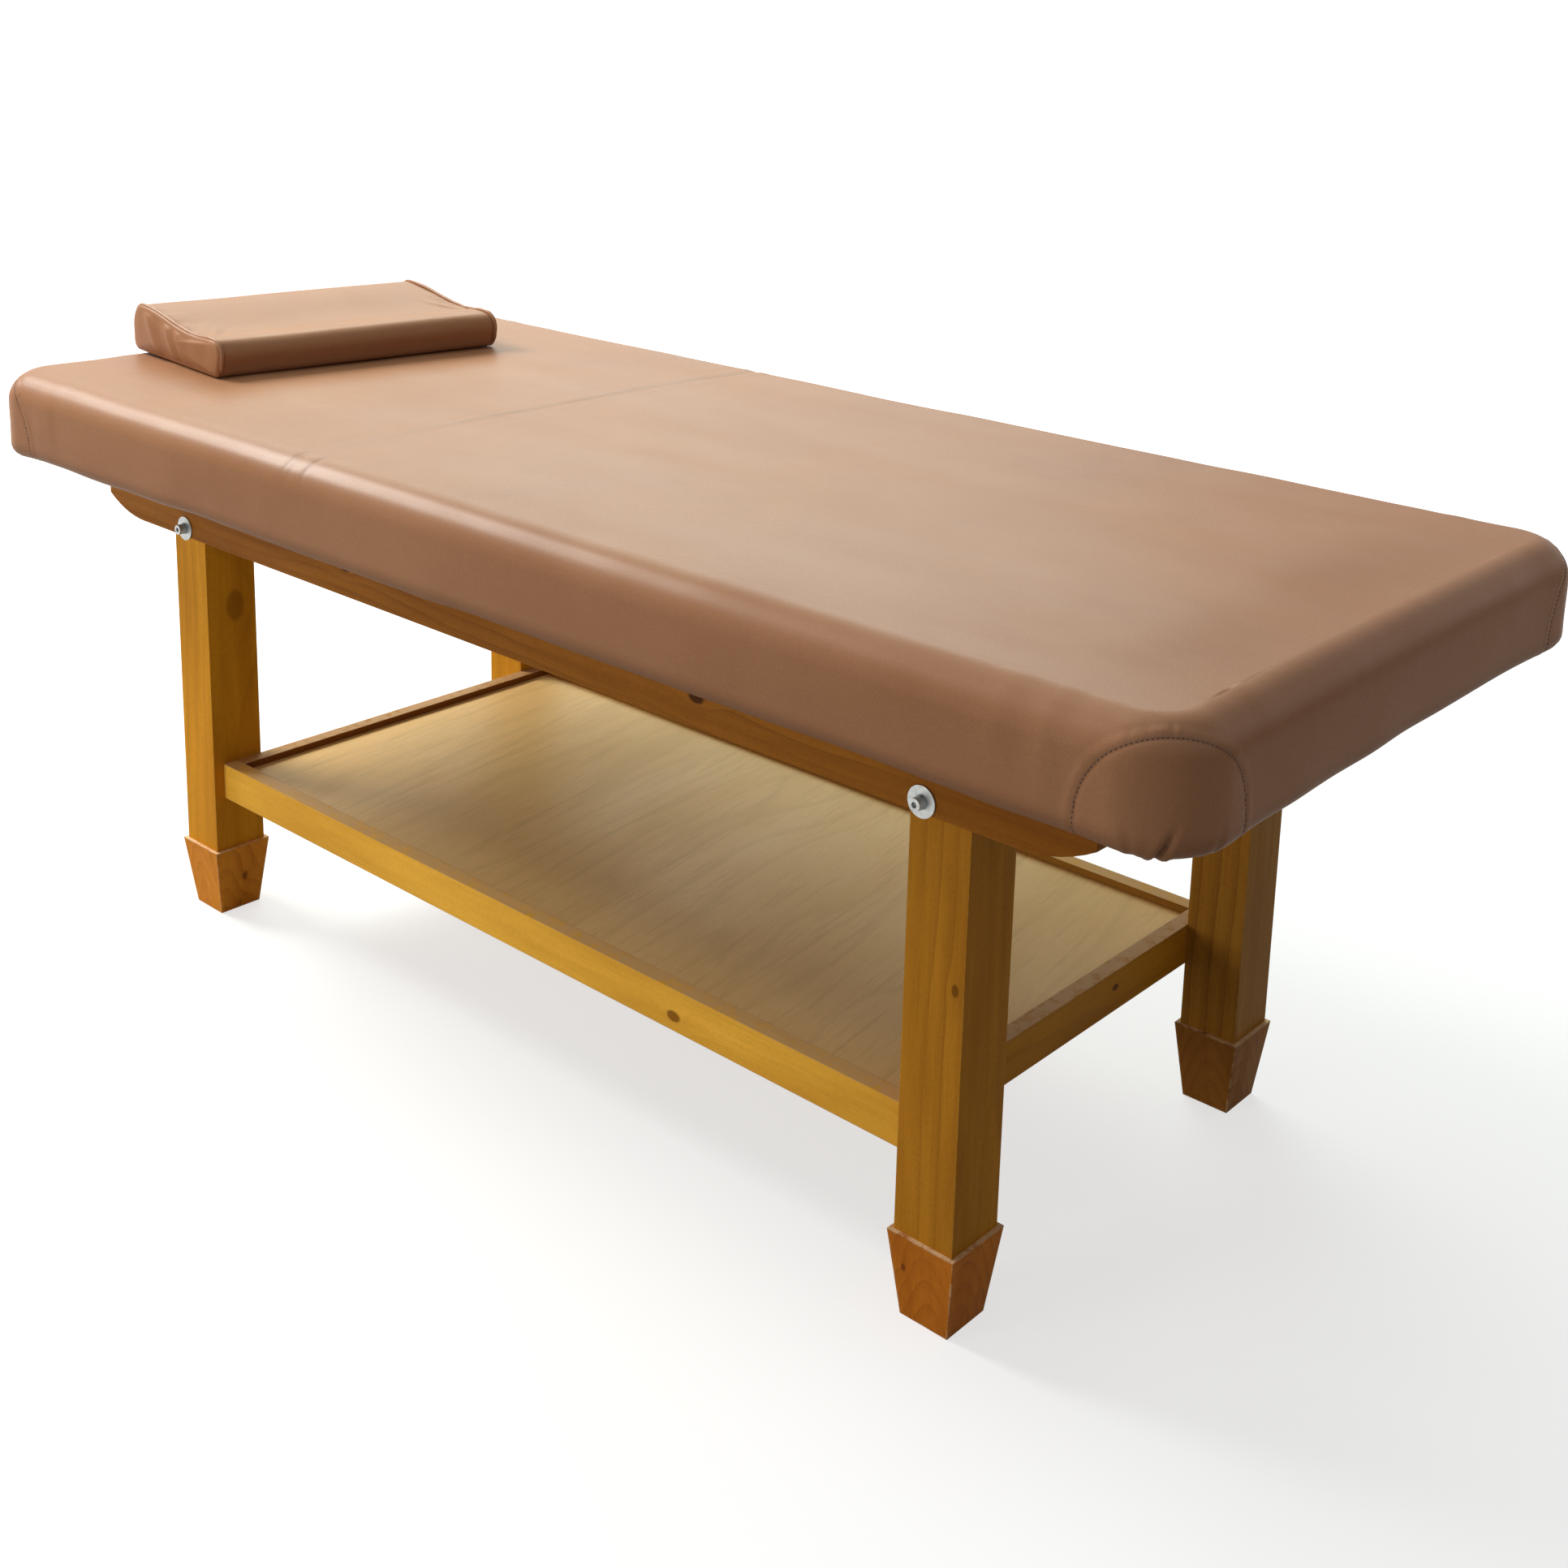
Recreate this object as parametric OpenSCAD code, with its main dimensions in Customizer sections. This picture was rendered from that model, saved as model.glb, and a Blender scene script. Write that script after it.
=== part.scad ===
// Massage bed: a stained pine frame with a storage shelf, a padded top whose backrest lifts,
// and a loose contoured pillow. Millimetres, +Z up.
// The origin is on the floor under the middle of the bed, and the head end is towards -X.
// Right and left are those of a person lying face up, so the right side is towards -Y.

/* [Padded top] */
// Length of the padded top over its cover
top_l = 1900; // [1820:10:2060]
// Width of the padded top over its cover
top_w = 820; // [770:5:900]
// Height of the finished top above the floor
bed_h = 736; // [700:1:820]
// Thickness of the pad from the hem under the boards to its top
pad_h = 117.5; // [100:0.5:140]
// Corner radius of the pad seen from above
pad_corner_r = 72; // [55:1:110]
// Radius of the pad's top edge
pad_top_r = 38; // [24:1:44]
// Radius of the pad's bottom edge
pad_bottom_r = 16; // [8:1:22]
// Rise of the crown over the middle of the pad
pad_crown = 4; // [1:0.5:8]
// How far the long sides are drawn in at their middle
side_pull = 4; // [0:0.5:8]
// How far the two ends are drawn in at their middle
end_pull = 3; // [0:0.5:8]
// Thickness of the upholstery cover
cover_t = 1.5; // [1:0.1:2.5]
// Width of the hem that is turned under the boards
hem_w = 50; // [40:1:60]
// Thickness of the plywood boards under the foam
board_t = 15; // [12:1:20]
// Distance of the boards' edge inside the cover
board_inset = 20; // [18:1:30]

/* [Lifting backrest] */
// Distance of the hinge line from the head end of the cover
hinge_from_head = 703; // [640:1:730]
// Angle to which the backrest lifts
max_lift = 60; // [45:1:65]
// Width of each butt hinge along the bed's width
hinge_w = 60; // [50:1:64]
// Radius of the hinge barrels
hinge_r = 4; // [3.5:0.25:5]
// Radius of the hinge pins
hinge_pin_r = 2; // [1.5:0.25:2.5]
// Thickness of the hinge leaves
leaf_t = 2; // [1.5:0.25:2.5]
// Reach of each hinge leaf from the hinge line
leaf_reach = 30; // [24:1:34]
// Distance of the outer hinges from the side rails
hinge_from_rail = 6; // [4:1:14]
// Depth of the prop's pivot below the hinge line
prop_drop = 15; // [14:0.5:17]
// Width of the prop's flat bars
prop_bar_w = 20; // [16:1:22]
// Thickness of the prop's flat bars
prop_bar_t = 4; // [3:0.5:5]
// Radius of the prop's cross rod
prop_rod_r = 5; // [4:0.25:6]
// Radius of the rivets on which the prop turns
rivet_r = 4; // [3:0.25:5]
// Thickness of the battens under the backrest board
batten_t = 30; // [24:1:34]
// Height of the battens under the backrest board
batten_h = 30; // [28:1:34]
// Thickness of the notched racks
rack_t = 20; // [16:1:24]
// Distance of the racks from the lines of the legs' inner faces
rack_from_leg = 18; // [17:1:26]
// Height of the notched racks
rack_h = 40; // [34:1:44]
// Depth of the notches that hold the rod
notch_depth = 6; // [4:0.5:9]

/* [Frame] */
// Distance of the legs from the ends of the padded top
leg_from_end = 278; // [260:1:300]
// Distance of the legs from the long sides of the padded top
leg_from_side = 107; // [85:1:120]
// Side of the square legs
leg_w = 72; // [66:1:78]
// Height of the tapered boots
boot_h = 95; // [80:1:120]
// Width of each boot where it stands on the floor
boot_foot_w = 59; // [50:1:68]
// Width of the rim of the boot around the leg
boot_rim = 5; // [3:0.5:8]
// Radius of the round tenon from leg to boot
tenon_r = 15; // [12:1:18]
// Length of the round tenon from leg to boot
tenon_l = 45; // [35:1:55]
// Distance of the side rails' ends from the ends of the padded top
rail_from_end = 136; // [110:1:150]
// Height of the side rails
side_rail_h = 78; // [70:1:86]
// Thickness of the side rails
side_rail_t = 22; // [20:1:26]
// How far the side rails stand out from the legs
side_rail_proud = 13; // [8:1:15]
// Length of the rounded nose at each end of a side rail
nose_l = 86; // [60:1:110]
// Rise of the rounded nose at each end of a side rail
nose_rise = 24; // [15:1:32]
// Thickness of the cross rails
cross_t = 22; // [20:1:28]
// Height of the cross rails between the legs
leg_rail_h = 70; // [66:1:76]
// Height of the end rails and the seat bearer
end_rail_h = 50; // [42:1:60]
// Thickness of the rail that carries the hinges
hinge_rail_t = 30; // [26:1:36]
// Height of the rail that carries the hinges
hinge_rail_h = 66; // [62:1:70]
// Distance of the end rails from the ends of the side rails
end_rail_in = 54; // [40:1:70]
// Distance of the seat bearer from the hinge line
bearer_from_hinge = 450; // [380:5:520]

/* [Shelf] */
// Height of the shelf frame's top edge above the floor
shelf_z = 220; // [180:1:280]
// Height of the shelf rails
shelf_rail_h = 49; // [44:1:60]
// Thickness of the shelf rails
shelf_rail_t = 20; // [16:1:24]
// Distance of the shelf rails inside the legs' outer faces
shelf_inset = 14.5; // [8:0.5:20]
// Depth of the shelf panel below the top edge of its rails
shelf_recess = 9; // [5:0.5:12]
// Thickness of the shelf panel
shelf_panel_t = 9; // [6:0.5:12]
// Side of the cleats under the shelf panel
cleat_w = 18; // [14:1:22]

/* [Fasteners] */
// Radius of the frame bolts
bolt_r = 4; // [3:0.5:5]
// Length of the frame bolts under the head
bolt_l = 72; // [66:1:76]
// Radius of the bolt heads
bolt_head_r = 6.5; // [5.5:0.25:8]
// Height of the bolt heads
bolt_head_h = 8; // [5:0.5:9]
// Radius of the wide washers
washer_r = 16; // [12:0.5:18]
// Thickness of the wide washers
washer_t = 2; // [1.5:0.25:3]
// Radius of the spring washers
spring_r = 7.25; // [6.5:0.25:8]
// Thickness of the spring washers
spring_t = 2.2; // [1.5:0.1:2.6]
// Height of the bolts above the lower edge of the side rails
bolt_up = 11.5; // [10:0.5:20]
// Distance of the bolts from the middle of the leg, towards the middle of the bed
bolt_in = 12.5; // [8:0.5:14]
// Radius of the barrel nuts
barrel_r = 6; // [5:0.5:7]
// Length of the barrel nuts
barrel_l = 26; // [20:1:30]
// Radius of the wooden dowels
dowel_r = 5; // [4:0.5:6]
// Length of a dowel inside the piece that receives it
dowel_deep = 12; // [8:1:14]
// Length of a dowel inside the rail that it carries
dowel_back = 20; // [16:1:26]
// Radius of the wood screws
screw_r = 2.5; // [2:0.1:3]
// Length of the wood screws
screw_l = 38; // [34:1:42]
// Length of the screws that fix the shelf to the legs
shelf_screw_l = 50; // [44:1:60]
// Distance of the board screws from the middle of the bed
board_screw_y = 150; // [60:5:180]
// Length of the hinge screws
hinge_screw_l = 13; // [10:0.5:14]
// Length of the screws up through the boots
boot_screw_l = 48; // [42:1:56]

/* [Pillow] */
// Length of the pillow across the bed
pillow_l = 440; // [380:5:500]
// Depth of the pillow along the bed
pillow_w = 275; // [230:5:300]
// Height of the pillow's high ridge
ridge_h = 67; // [60:1:90]
// Height of the hollow for the head
dip_h = 48; // [42:1:58]
// Height of the pillow's low ridge
front_h = 51; // [46:1:59]
// Distance of the pillow's middle from the head end of the bed
pillow_from_head = 175; // [160:1:240]
// Turn of the pillow on the bed in degrees
pillow_turn = -6.5; // [-10:1:10]
// Radius of the piping around the pillow's ends
piping_r = 2; // [1.5:0.25:3]

/* [Hidden] */
// Sideways room around dowels, tenons, screws and bolts in their holes
hole_gap = 0.1;
// Running room around pins that turn
run_gap = 0.05;
// Room between soft pieces and what they touch
soft_gap = 0.3;
// Room beyond the end of a dowel or bolt in its hole
end_gap = 1;
// Room between the moving rod and the tips of the racks
rod_gap = 1.2;
// Room between pieces that turn past each other
swing_gap = 0.5;
// Room between the knuckles of a hinge
knuckle_gap = 0.4;
// Room between the rod, when the prop lies flat, and the rail at its tip
rod_room = 33;
// Room around the edges of the shelf panel and between the cleats
shelf_gap = 0.5;
// Drop of the racks' top towards the head end, which keeps the lowered rod clear of them
rack_head_drop = 5;
// Wood between the head of the screw in a boot and the tenon above it
boot_screw_wall = 15;
// Distance of the piping from the pillow's ends
piping_in = 10;
// Overrun of a cut past the face that it opens
cut = 1;

// Steps around a corner, an edge and the sides of the soft forms
corner_steps = 6;
edge_steps = 5;
hem_steps = 3;
crown_steps = 3;
side_steps = 8;
end_steps = 4;

deck_z = bed_h - pad_h + cover_t;
board_top_z = deck_z + board_t;

leg_ox = top_l / 2 - leg_from_end;
leg_ix = leg_ox - leg_w;
leg_cx = leg_ox - leg_w / 2;
leg_oy = top_w / 2 - leg_from_side;
leg_iy = leg_oy - leg_w;
leg_cy = leg_oy - leg_w / 2;

side_rail_l = top_l - 2 * rail_from_end;
rail_oy = leg_oy + side_rail_proud;
rail_iy = rail_oy - side_rail_t;
rail_z = deck_z - side_rail_h;
nose_r = (nose_l * nose_l + nose_rise * nose_rise) / (2 * nose_rise);

bolt_x = leg_cx - bolt_in;
bolt_z = rail_z + bolt_up;
bolt_start_y = rail_oy + washer_t + spring_t;
bolt_end_y = bolt_start_y - bolt_l;
bolt_past_nut = 2;
barrel_y = bolt_end_y + barrel_r + bolt_past_nut;

// The screw in a boot starts in a counterbore and ends in the leg's tenon
boot_screw_z = boot_h - tenon_l - boot_screw_wall;

hinge_x = hinge_from_head - top_l / 2;
hinge_z = deck_z - hinge_r;
hinge_rail_x = hinge_x + hinge_r + hinge_rail_t / 2;
hinge_spread = rail_iy - hinge_from_rail - hinge_w / 2;
hinge_places = [-hinge_spread, 0, hinge_spread];
hinge_screw_at = leaf_reach * 0.6;
knuckles = 5;
knuckle_w = hinge_w / knuckles;
fold_angle = max_lift / 2;

end_rail_x = side_rail_l / 2 - end_rail_in;
bearer_x = hinge_x + bearer_from_hinge;

// The racks lie between the head end's leg rail and the hinge rail. The prop lies flat between
// them, with its pivot halfway, and outwards from the middle of the bed come the batten, the flat
// bar, the rivet's head and the rack.
rack_head_x = -leg_cx + cross_t / 2;
rack_foot_x = hinge_x + hinge_r;
rack_y = leg_iy - rack_from_leg - rack_t;
rivet_head_t = 4;
rivet_head_r = 1.7 * rivet_r;
rivet_room = 1;
bar_y = rack_y - rivet_room - rivet_head_t - swing_gap - prop_bar_t;
batten_y = bar_y - swing_gap;
prop_arm_l = (hinge_x - rack_head_x - prop_rod_r - rod_room) / 2;
prop_pivot = [hinge_x - prop_arm_l, hinge_z - prop_drop];
rod_past_rack = 5;
rod_l = 2 * (rack_y + rack_t + rod_past_rack);
batten_back = 45;
batten_front = 15;
rack_top_z = hinge_z - prop_drop - prop_rod_r - rod_gap;
rack_z = rack_top_z - rack_h;
rack_dowel_z = rack_z + rack_h / 2;
lift_step = 10;
stops = [for (i = [0:4]) max_lift - lift_step * i];

shelf_oy = leg_oy - shelf_inset;
shelf_iy = shelf_oy - shelf_rail_t;
shelf_rail_z = shelf_z - shelf_rail_h;
shelf_panel_z = shelf_z - shelf_recess - shelf_panel_t;
cleat_end = shelf_iy - cleat_w - shelf_gap;
shelf_screw_y = (leg_iy + shelf_iy) / 2;
shelf_screw_z = (shelf_rail_z + shelf_panel_z - cleat_w) / 2;

pillow_x = pillow_from_head - top_l / 2;
pillow_z = bed_h + soft_gap;
ridge_at = -0.40 * pillow_w;
dip_at = 0.22 * pillow_w;
front_at = 0.38 * pillow_w;
pillow_base_r = 15;

$fn = 48;

// Colours
pine = [0.80, 0.55, 0.20];
dark_pine = [0.62, 0.38, 0.12];
boot_pine = [0.66, 0.37, 0.16];
plywood = [0.68, 0.56, 0.38];
beech = [0.85, 0.72, 0.52];
zinc = [0.70, 0.71, 0.72];
steel = [0.55, 0.56, 0.58];
leatherette = [0.72, 0.52, 0.40];
foam = [0.93, 0.90, 0.80];

// Helpers

// Puts a shape that is drawn for the foot end, left side at another corner
module at_corner(end, side) {
    mirror([end < 0 ? 1 : 0, 0, 0])
        mirror([0, side < 0 ? 1 : 0, 0])
            children();
}

module on_side(side) {
    mirror([0, side < 0 ? 1 : 0, 0])
        children();
}

// A block between two corners
module block(low, high) {
    translate(low)
        cube(high - low);
}

// A cylinder that starts at a point and runs along an axis, +1 or -1 times its length
module rod_x(start, r, l) {
    translate(start)
        rotate([0, l > 0 ? 90 : -90, 0])
            cylinder(r = r, h = abs(l));
}

module rod_y(start, r, l) {
    translate(start)
        rotate([l > 0 ? -90 : 90, 0, 0])
            cylinder(r = r, h = abs(l));
}

// A countersunk screw that points down, with the top of its head at the origin
module screw(l, r, room = 0) {
    head_h = r;
    difference() {
        union() {
            translate([0, 0, -l - room])
                cylinder(r = r + room, h = l + room);
            translate([0, 0, -head_h - room])
                cylinder(r1 = r + room, r2 = 2 * r + room, h = head_h + room);
            if (room > 0)
                cylinder(r = 2 * r + room, h = cut);
        }
        if (room == 0)
            for (turn = [0, 90])
                rotate([0, 0, turn])
                    cube([2.2 * r, 0.5 * r, r], center = true);
    }
}

// A pan-head screw that points up, with the underside of its head at the origin
module pan_screw(l, r, room = 0) {
    head_h = 0.7 * r;
    cylinder(r = r + room, h = l + room);
    if (room == 0)
        translate([0, 0, -head_h])
            difference() {
                cylinder(r = 1.8 * r, h = head_h);
                for (turn = [0, 90])
                    rotate([0, 0, turn])
                        cube([2 * r, 0.4 * r, head_h], center = true);
            }
}

// A flat profile in the X-Z plane, as wide as given, centred on the bed
module across_bed(width) {
    rotate([90, 0, 0])
        linear_extrude(height = width, center = true)
            children();
}

// Dowels between a cross rail and what carries its two ends
module cross_dowels(x, half_span, rail_h, room = 0, tip = 0) {
    for (side = [-1, 1])
        for (drop = [rail_h / 4, 3 * rail_h / 4])
            rod_y([x, side * (half_span - dowel_back - tip), deck_z - drop], dowel_r + room,
                  side * (dowel_back + dowel_deep + 2 * tip));
}

module rack_dowels(room = 0, tip = 0) {
    for (side = [-1, 1]) {
        y = side * (rack_y + rack_t / 2);
        rod_x([rack_head_x + dowel_back + tip, y, rack_dowel_z], dowel_r + room,
              -(dowel_back + dowel_deep + 2 * tip));
        rod_x([rack_foot_x - dowel_back - tip, y, rack_dowel_z], dowel_r + room,
              dowel_back + dowel_deep + 2 * tip);
    }
}

// Dowels that keep the side rails from turning on the legs
module leg_dowels(room = 0, tip = 0) {
    for (end = [-1, 1], side = [-1, 1])
        at_corner(end, side)
            rod_y([leg_cx, rail_iy - dowel_back - tip, deck_z - side_rail_h / 4], dowel_r + room,
                  dowel_back + dowel_deep + 2 * tip);
}

// Legs and boots

module leg(end, side) {
    color(pine)
        at_corner(end, side)
            difference() {
                union() {
                    block([leg_ix, leg_iy, boot_h], [leg_ox, leg_oy, deck_z]);
                    translate([leg_cx, leg_cy, boot_h - tenon_l])
                        cylinder(r = tenon_r, h = tenon_l + cut);
                }
                // Rebate that seats the side rail
                block([leg_ix - cut, rail_iy, rail_z], [leg_ox + cut, leg_oy + cut, deck_z + cut]);
                rod_y([bolt_x, rail_iy + cut, bolt_z], bolt_r + hole_gap,
                      -(rail_iy + cut - bolt_end_y + end_gap));
                rod_x([leg_ix - cut, barrel_y, bolt_z], barrel_r + hole_gap,
                      bolt_x + barrel_l / 2 + end_gap - leg_ix + cut);
                leg_dowels(hole_gap, end_gap);
                cross_dowels(leg_cx, leg_iy, leg_rail_h, hole_gap, end_gap);
                translate([leg_cx, leg_cy, 0])
                    cylinder(r = screw_r + hole_gap, h = boot_screw_z + boot_screw_l + end_gap);
                shelf_screw_row(hole_gap);
            }
}

module boot(end, side) {
    top_w_half = leg_w / 2 + boot_rim;
    foot_w_half = boot_foot_w / 2;
    taper = [[-foot_w_half, 0], [foot_w_half, 0], [top_w_half, boot_h], [-top_w_half, boot_h]];
    color(boot_pine)
        at_corner(end, side)
            translate([leg_cx, leg_cy, 0])
                difference() {
                    intersection() {
                        rotate([90, 0, 0])
                            linear_extrude(height = 2 * top_w_half, center = true)
                                polygon(taper);
                        rotate([90, 0, 90])
                            linear_extrude(height = 2 * top_w_half, center = true)
                                polygon(taper);
                    }
                    translate([0, 0, boot_h - tenon_l - end_gap])
                        cylinder(r = tenon_r + hole_gap, h = tenon_l + end_gap + cut);
                    translate([0, 0, -cut])
                        cylinder(r = screw_r + hole_gap, h = boot_h);
                    // Counterbore for the screw's head
                    translate([0, 0, -cut])
                        cylinder(r = 2 * screw_r + 1, h = boot_screw_z + cut);
                }
}

module boot_screws() {
    color(zinc)
        for (end = [-1, 1], side = [-1, 1])
            at_corner(end, side)
                translate([leg_cx, leg_cy, boot_screw_z])
                    pan_screw(boot_screw_l, screw_r);
}

// Top frame

module side_rail_outline() {
    straight = side_rail_l / 2 - nose_l;
    translate([-straight, rail_z])
        square([2 * straight, side_rail_h]);
    for (end = [0, 1])
        mirror([end, 0])
            intersection() {
                translate([straight - cut, rail_z])
                    square([nose_l + cut, side_rail_h]);
                translate([straight, rail_z + nose_r])
                    circle(r = nose_r, $fn = 180);
            }
}

module side_rail(side) {
    color(dark_pine)
        on_side(side)
            difference() {
                translate([0, rail_oy, 0])
                    rotate([90, 0, 0])
                        linear_extrude(height = side_rail_t)
                            side_rail_outline();
                for (end = [-1, 1])
                    rod_y([end * bolt_x, rail_iy - cut, bolt_z], bolt_r + hole_gap,
                          side_rail_t + 2 * cut);
                leg_dowels(hole_gap, end_gap);
                cross_dowels(end_rail_x, rail_iy, end_rail_h, hole_gap, end_gap);
                cross_dowels(-end_rail_x, rail_iy, end_rail_h, hole_gap, end_gap);
                cross_dowels(hinge_rail_x, rail_iy, hinge_rail_h, hole_gap, end_gap);
                cross_dowels(bearer_x, rail_iy, end_rail_h, hole_gap, end_gap);
            }
}

module cross_rail(x, half_span, rail_t, rail_h) {
    difference() {
        block([x - rail_t / 2, -half_span, deck_z - rail_h], [x + rail_t / 2, half_span, deck_z]);
        cross_dowels(x, half_span, rail_h, hole_gap, end_gap);
        rack_dowels(hole_gap, end_gap);
        seat_board_screw_row(hole_gap);
        hinge_screw_row(hole_gap);
    }
}

module leg_rail(end) {
    color(dark_pine)
        cross_rail(end * leg_cx, leg_iy, cross_t, leg_rail_h);
}

module end_rail(end) {
    color(dark_pine)
        cross_rail(end * end_rail_x, rail_iy, cross_t, end_rail_h);
}

module hinge_rail() {
    color(dark_pine)
        cross_rail(hinge_rail_x, rail_iy, hinge_rail_t, hinge_rail_h);
}

module seat_bearer() {
    color(dark_pine)
        cross_rail(bearer_x, rail_iy, cross_t, end_rail_h);
}

module frame_dowels() {
    color(beech) {
        leg_dowels();
        rack_dowels();
        for (end = [-1, 1]) {
            cross_dowels(end * leg_cx, leg_iy, leg_rail_h);
            cross_dowels(end * end_rail_x, rail_iy, end_rail_h);
        }
        cross_dowels(hinge_rail_x, rail_iy, hinge_rail_h);
        cross_dowels(bearer_x, rail_iy, end_rail_h);
    }
}

// Knock-down bolts

module at_bolts() {
    for (end = [-1, 1], side = [-1, 1])
        at_corner(end, side)
            translate([bolt_x, 0, bolt_z])
                children();
}

module frame_bolts() {
    socket_r = bolt_head_r / 2;
    color(zinc)
        at_bolts()
            difference() {
                union() {
                    rod_y([0, bolt_start_y, 0], bolt_r, -bolt_l);
                    rod_y([0, bolt_start_y, 0], bolt_head_r, bolt_head_h);
                }
                translate([0, bolt_start_y + bolt_head_h / 2, 0])
                    rotate([-90, 0, 0])
                        cylinder(r = socket_r, h = bolt_head_h, $fn = 6);
            }
}

module wide_washers() {
    color(zinc)
        at_bolts()
            difference() {
                rod_y([0, rail_oy, 0], washer_r, washer_t);
                rod_y([0, rail_oy - cut, 0], bolt_r + hole_gap, washer_t + 2 * cut);
            }
}

module spring_washers() {
    split = 1.2;
    color(steel)
        at_bolts()
            difference() {
                rod_y([0, rail_oy + washer_t, 0], spring_r, spring_t);
                rod_y([0, rail_oy + washer_t - cut, 0], bolt_r + hole_gap, spring_t + 2 * cut);
                // The split in the ring
                translate([0, rail_oy + washer_t + spring_t / 2, spring_r / 2])
                    rotate([0, 30, 0])
                        cube([split, 2 * spring_t, spring_r + cut], center = true);
            }
}

module barrel_nuts() {
    slot_w = 1.5;
    color(zinc)
        at_bolts()
            difference() {
                rod_x([-barrel_l / 2, barrel_y, 0], barrel_r, barrel_l);
                rod_y([0, barrel_y - barrel_r - cut, 0], bolt_r + hole_gap, 2 * (barrel_r + cut));
                // Screwdriver slot in the end that shows in the leg
                translate([-barrel_l / 2, barrel_y, 0])
                    cube([2 * slot_w, 2 * barrel_r + cut, slot_w], center = true);
            }
}

// Shelf

module shelf_side_rail(side) {
    color(pine)
        on_side(side)
            block([-leg_ix, shelf_iy, shelf_rail_z], [leg_ix, shelf_oy, shelf_z]);
}

module shelf_end_rail(end) {
    color(pine)
        mirror([end < 0 ? 1 : 0, 0, 0])
            difference() {
                block([leg_ix - shelf_rail_t, -shelf_iy, shelf_rail_z], [leg_ix, shelf_iy, shelf_z]);
                shelf_screw_row(hole_gap);
            }
}

module shelf_panel() {
    half_l = leg_ix - shelf_rail_t - shelf_gap;
    half_w = shelf_iy - shelf_gap;
    color(plywood)
        block([-half_l, -half_w, shelf_panel_z], [half_l, half_w, shelf_panel_z + shelf_panel_t]);
}

// Cleats along the four rails, which carry the panel's edges
module shelf_cleats() {
    inner_x = leg_ix - shelf_rail_t;
    color(pine) {
        for (side = [-1, 1])
            on_side(side)
                block([-inner_x, shelf_iy - cleat_w, shelf_panel_z - cleat_w],
                      [inner_x, shelf_iy, shelf_panel_z]);
        for (end = [0, 1])
            mirror([end, 0, 0])
                block([inner_x - cleat_w, -cleat_end, shelf_panel_z - cleat_w],
                      [inner_x, cleat_end, shelf_panel_z]);
    }
}

module shelf_bearer() {
    color(pine)
        block([-cleat_w, -cleat_end, shelf_panel_z - cleat_w], [cleat_w, cleat_end, shelf_panel_z]);
}

// Below the cleats, a screw runs from inside the shelf frame into each leg
module shelf_screw_row(room = 0) {
    for (end = [-1, 1], side = [-1, 1])
        at_corner(end, side)
            translate([leg_ix - shelf_rail_t, shelf_screw_y, shelf_screw_z])
                rotate([0, -90, 0])
                    screw(shelf_screw_l, screw_r, room);
}

module shelf_screws() {
    color(zinc)
        shelf_screw_row();
}

// Deck boards

// The bed's length, split at the hinge line along two planes that close as the backrest lifts
module seat_zone(gap) {
    reach = 2 * pad_h;
    lean = reach * tan(fold_angle);
    translate([hinge_x, hinge_z])
        polygon([[gap, -reach], [gap, 0], [gap + lean, reach], [top_l, reach], [top_l, -reach]]);
}

module backrest_zone(gap) {
    reach = 2 * pad_h;
    lean = reach * tan(fold_angle);
    translate([hinge_x, hinge_z])
        polygon([[-gap, -reach], [-gap, 0], [-gap - lean, reach], [-top_l, reach], [-top_l, -reach]]);
}

module fold_zone() {
    reach = 2 * pad_h;
    lean = reach * tan(fold_angle);
    translate([hinge_x, hinge_z])
        polygon([[0, 0], [lean, reach], [-lean, reach]]);
}

module board_outline(inset) {
    half_l = top_l / 2 - inset;
    half_w = top_w / 2 - inset;
    r = pad_corner_r - inset;
    for (turn = [0, 1], flip = [0, 1])
        mirror([turn, 0])
            mirror([0, flip]) {
                square([half_l - r, half_w]);
                square([half_l, half_w - r]);
                translate([half_l - r, half_w - r])
                    circle(r = r);
            }
}

module board(inset, bottom_z, top_z) {
    translate([0, 0, bottom_z])
        linear_extrude(height = top_z - bottom_z)
            board_outline(inset);
}

module seat_board() {
    color(plywood)
        difference() {
            intersection() {
                board(board_inset, deck_z, board_top_z);
                across_bed(top_w)
                    seat_zone(swing_gap);
            }
            seat_board_screw_row(hole_gap);
        }
}

module backrest_board() {
    color(plywood)
        difference() {
            intersection() {
                board(board_inset, deck_z, board_top_z);
                across_bed(top_w)
                    backrest_zone(swing_gap);
            }
            batten_screw_row(hole_gap);
            hinge_screw_row(hole_gap);
        }
}

module seat_board_screw_row(room = 0) {
    for (x = [hinge_rail_x, bearer_x, leg_cx, end_rail_x], y = [-board_screw_y, board_screw_y])
        translate([x, y, board_top_z])
            screw(screw_l, screw_r, room);
}

module seat_board_screws() {
    color(zinc)
        seat_board_screw_row();
}

// Butt hinges. The fixed leaf is on the hinge rail, and the moving leaf is under the backrest

// Every second knuckle from the first, with the tongue that joins it to its leaf. The tongue's
// corners are given in the X-Z plane.
module knuckle_row(first, low, high) {
    for (i = [first:2:knuckles - 1]) {
        start = i * knuckle_w - hinge_w / 2 + knuckle_gap / 2;
        rod_y([hinge_x, start, hinge_z], hinge_r, knuckle_w - knuckle_gap);
        block([low[0], start, low[1]], [high[0], start + knuckle_w - knuckle_gap, high[1]]);
    }
}

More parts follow.
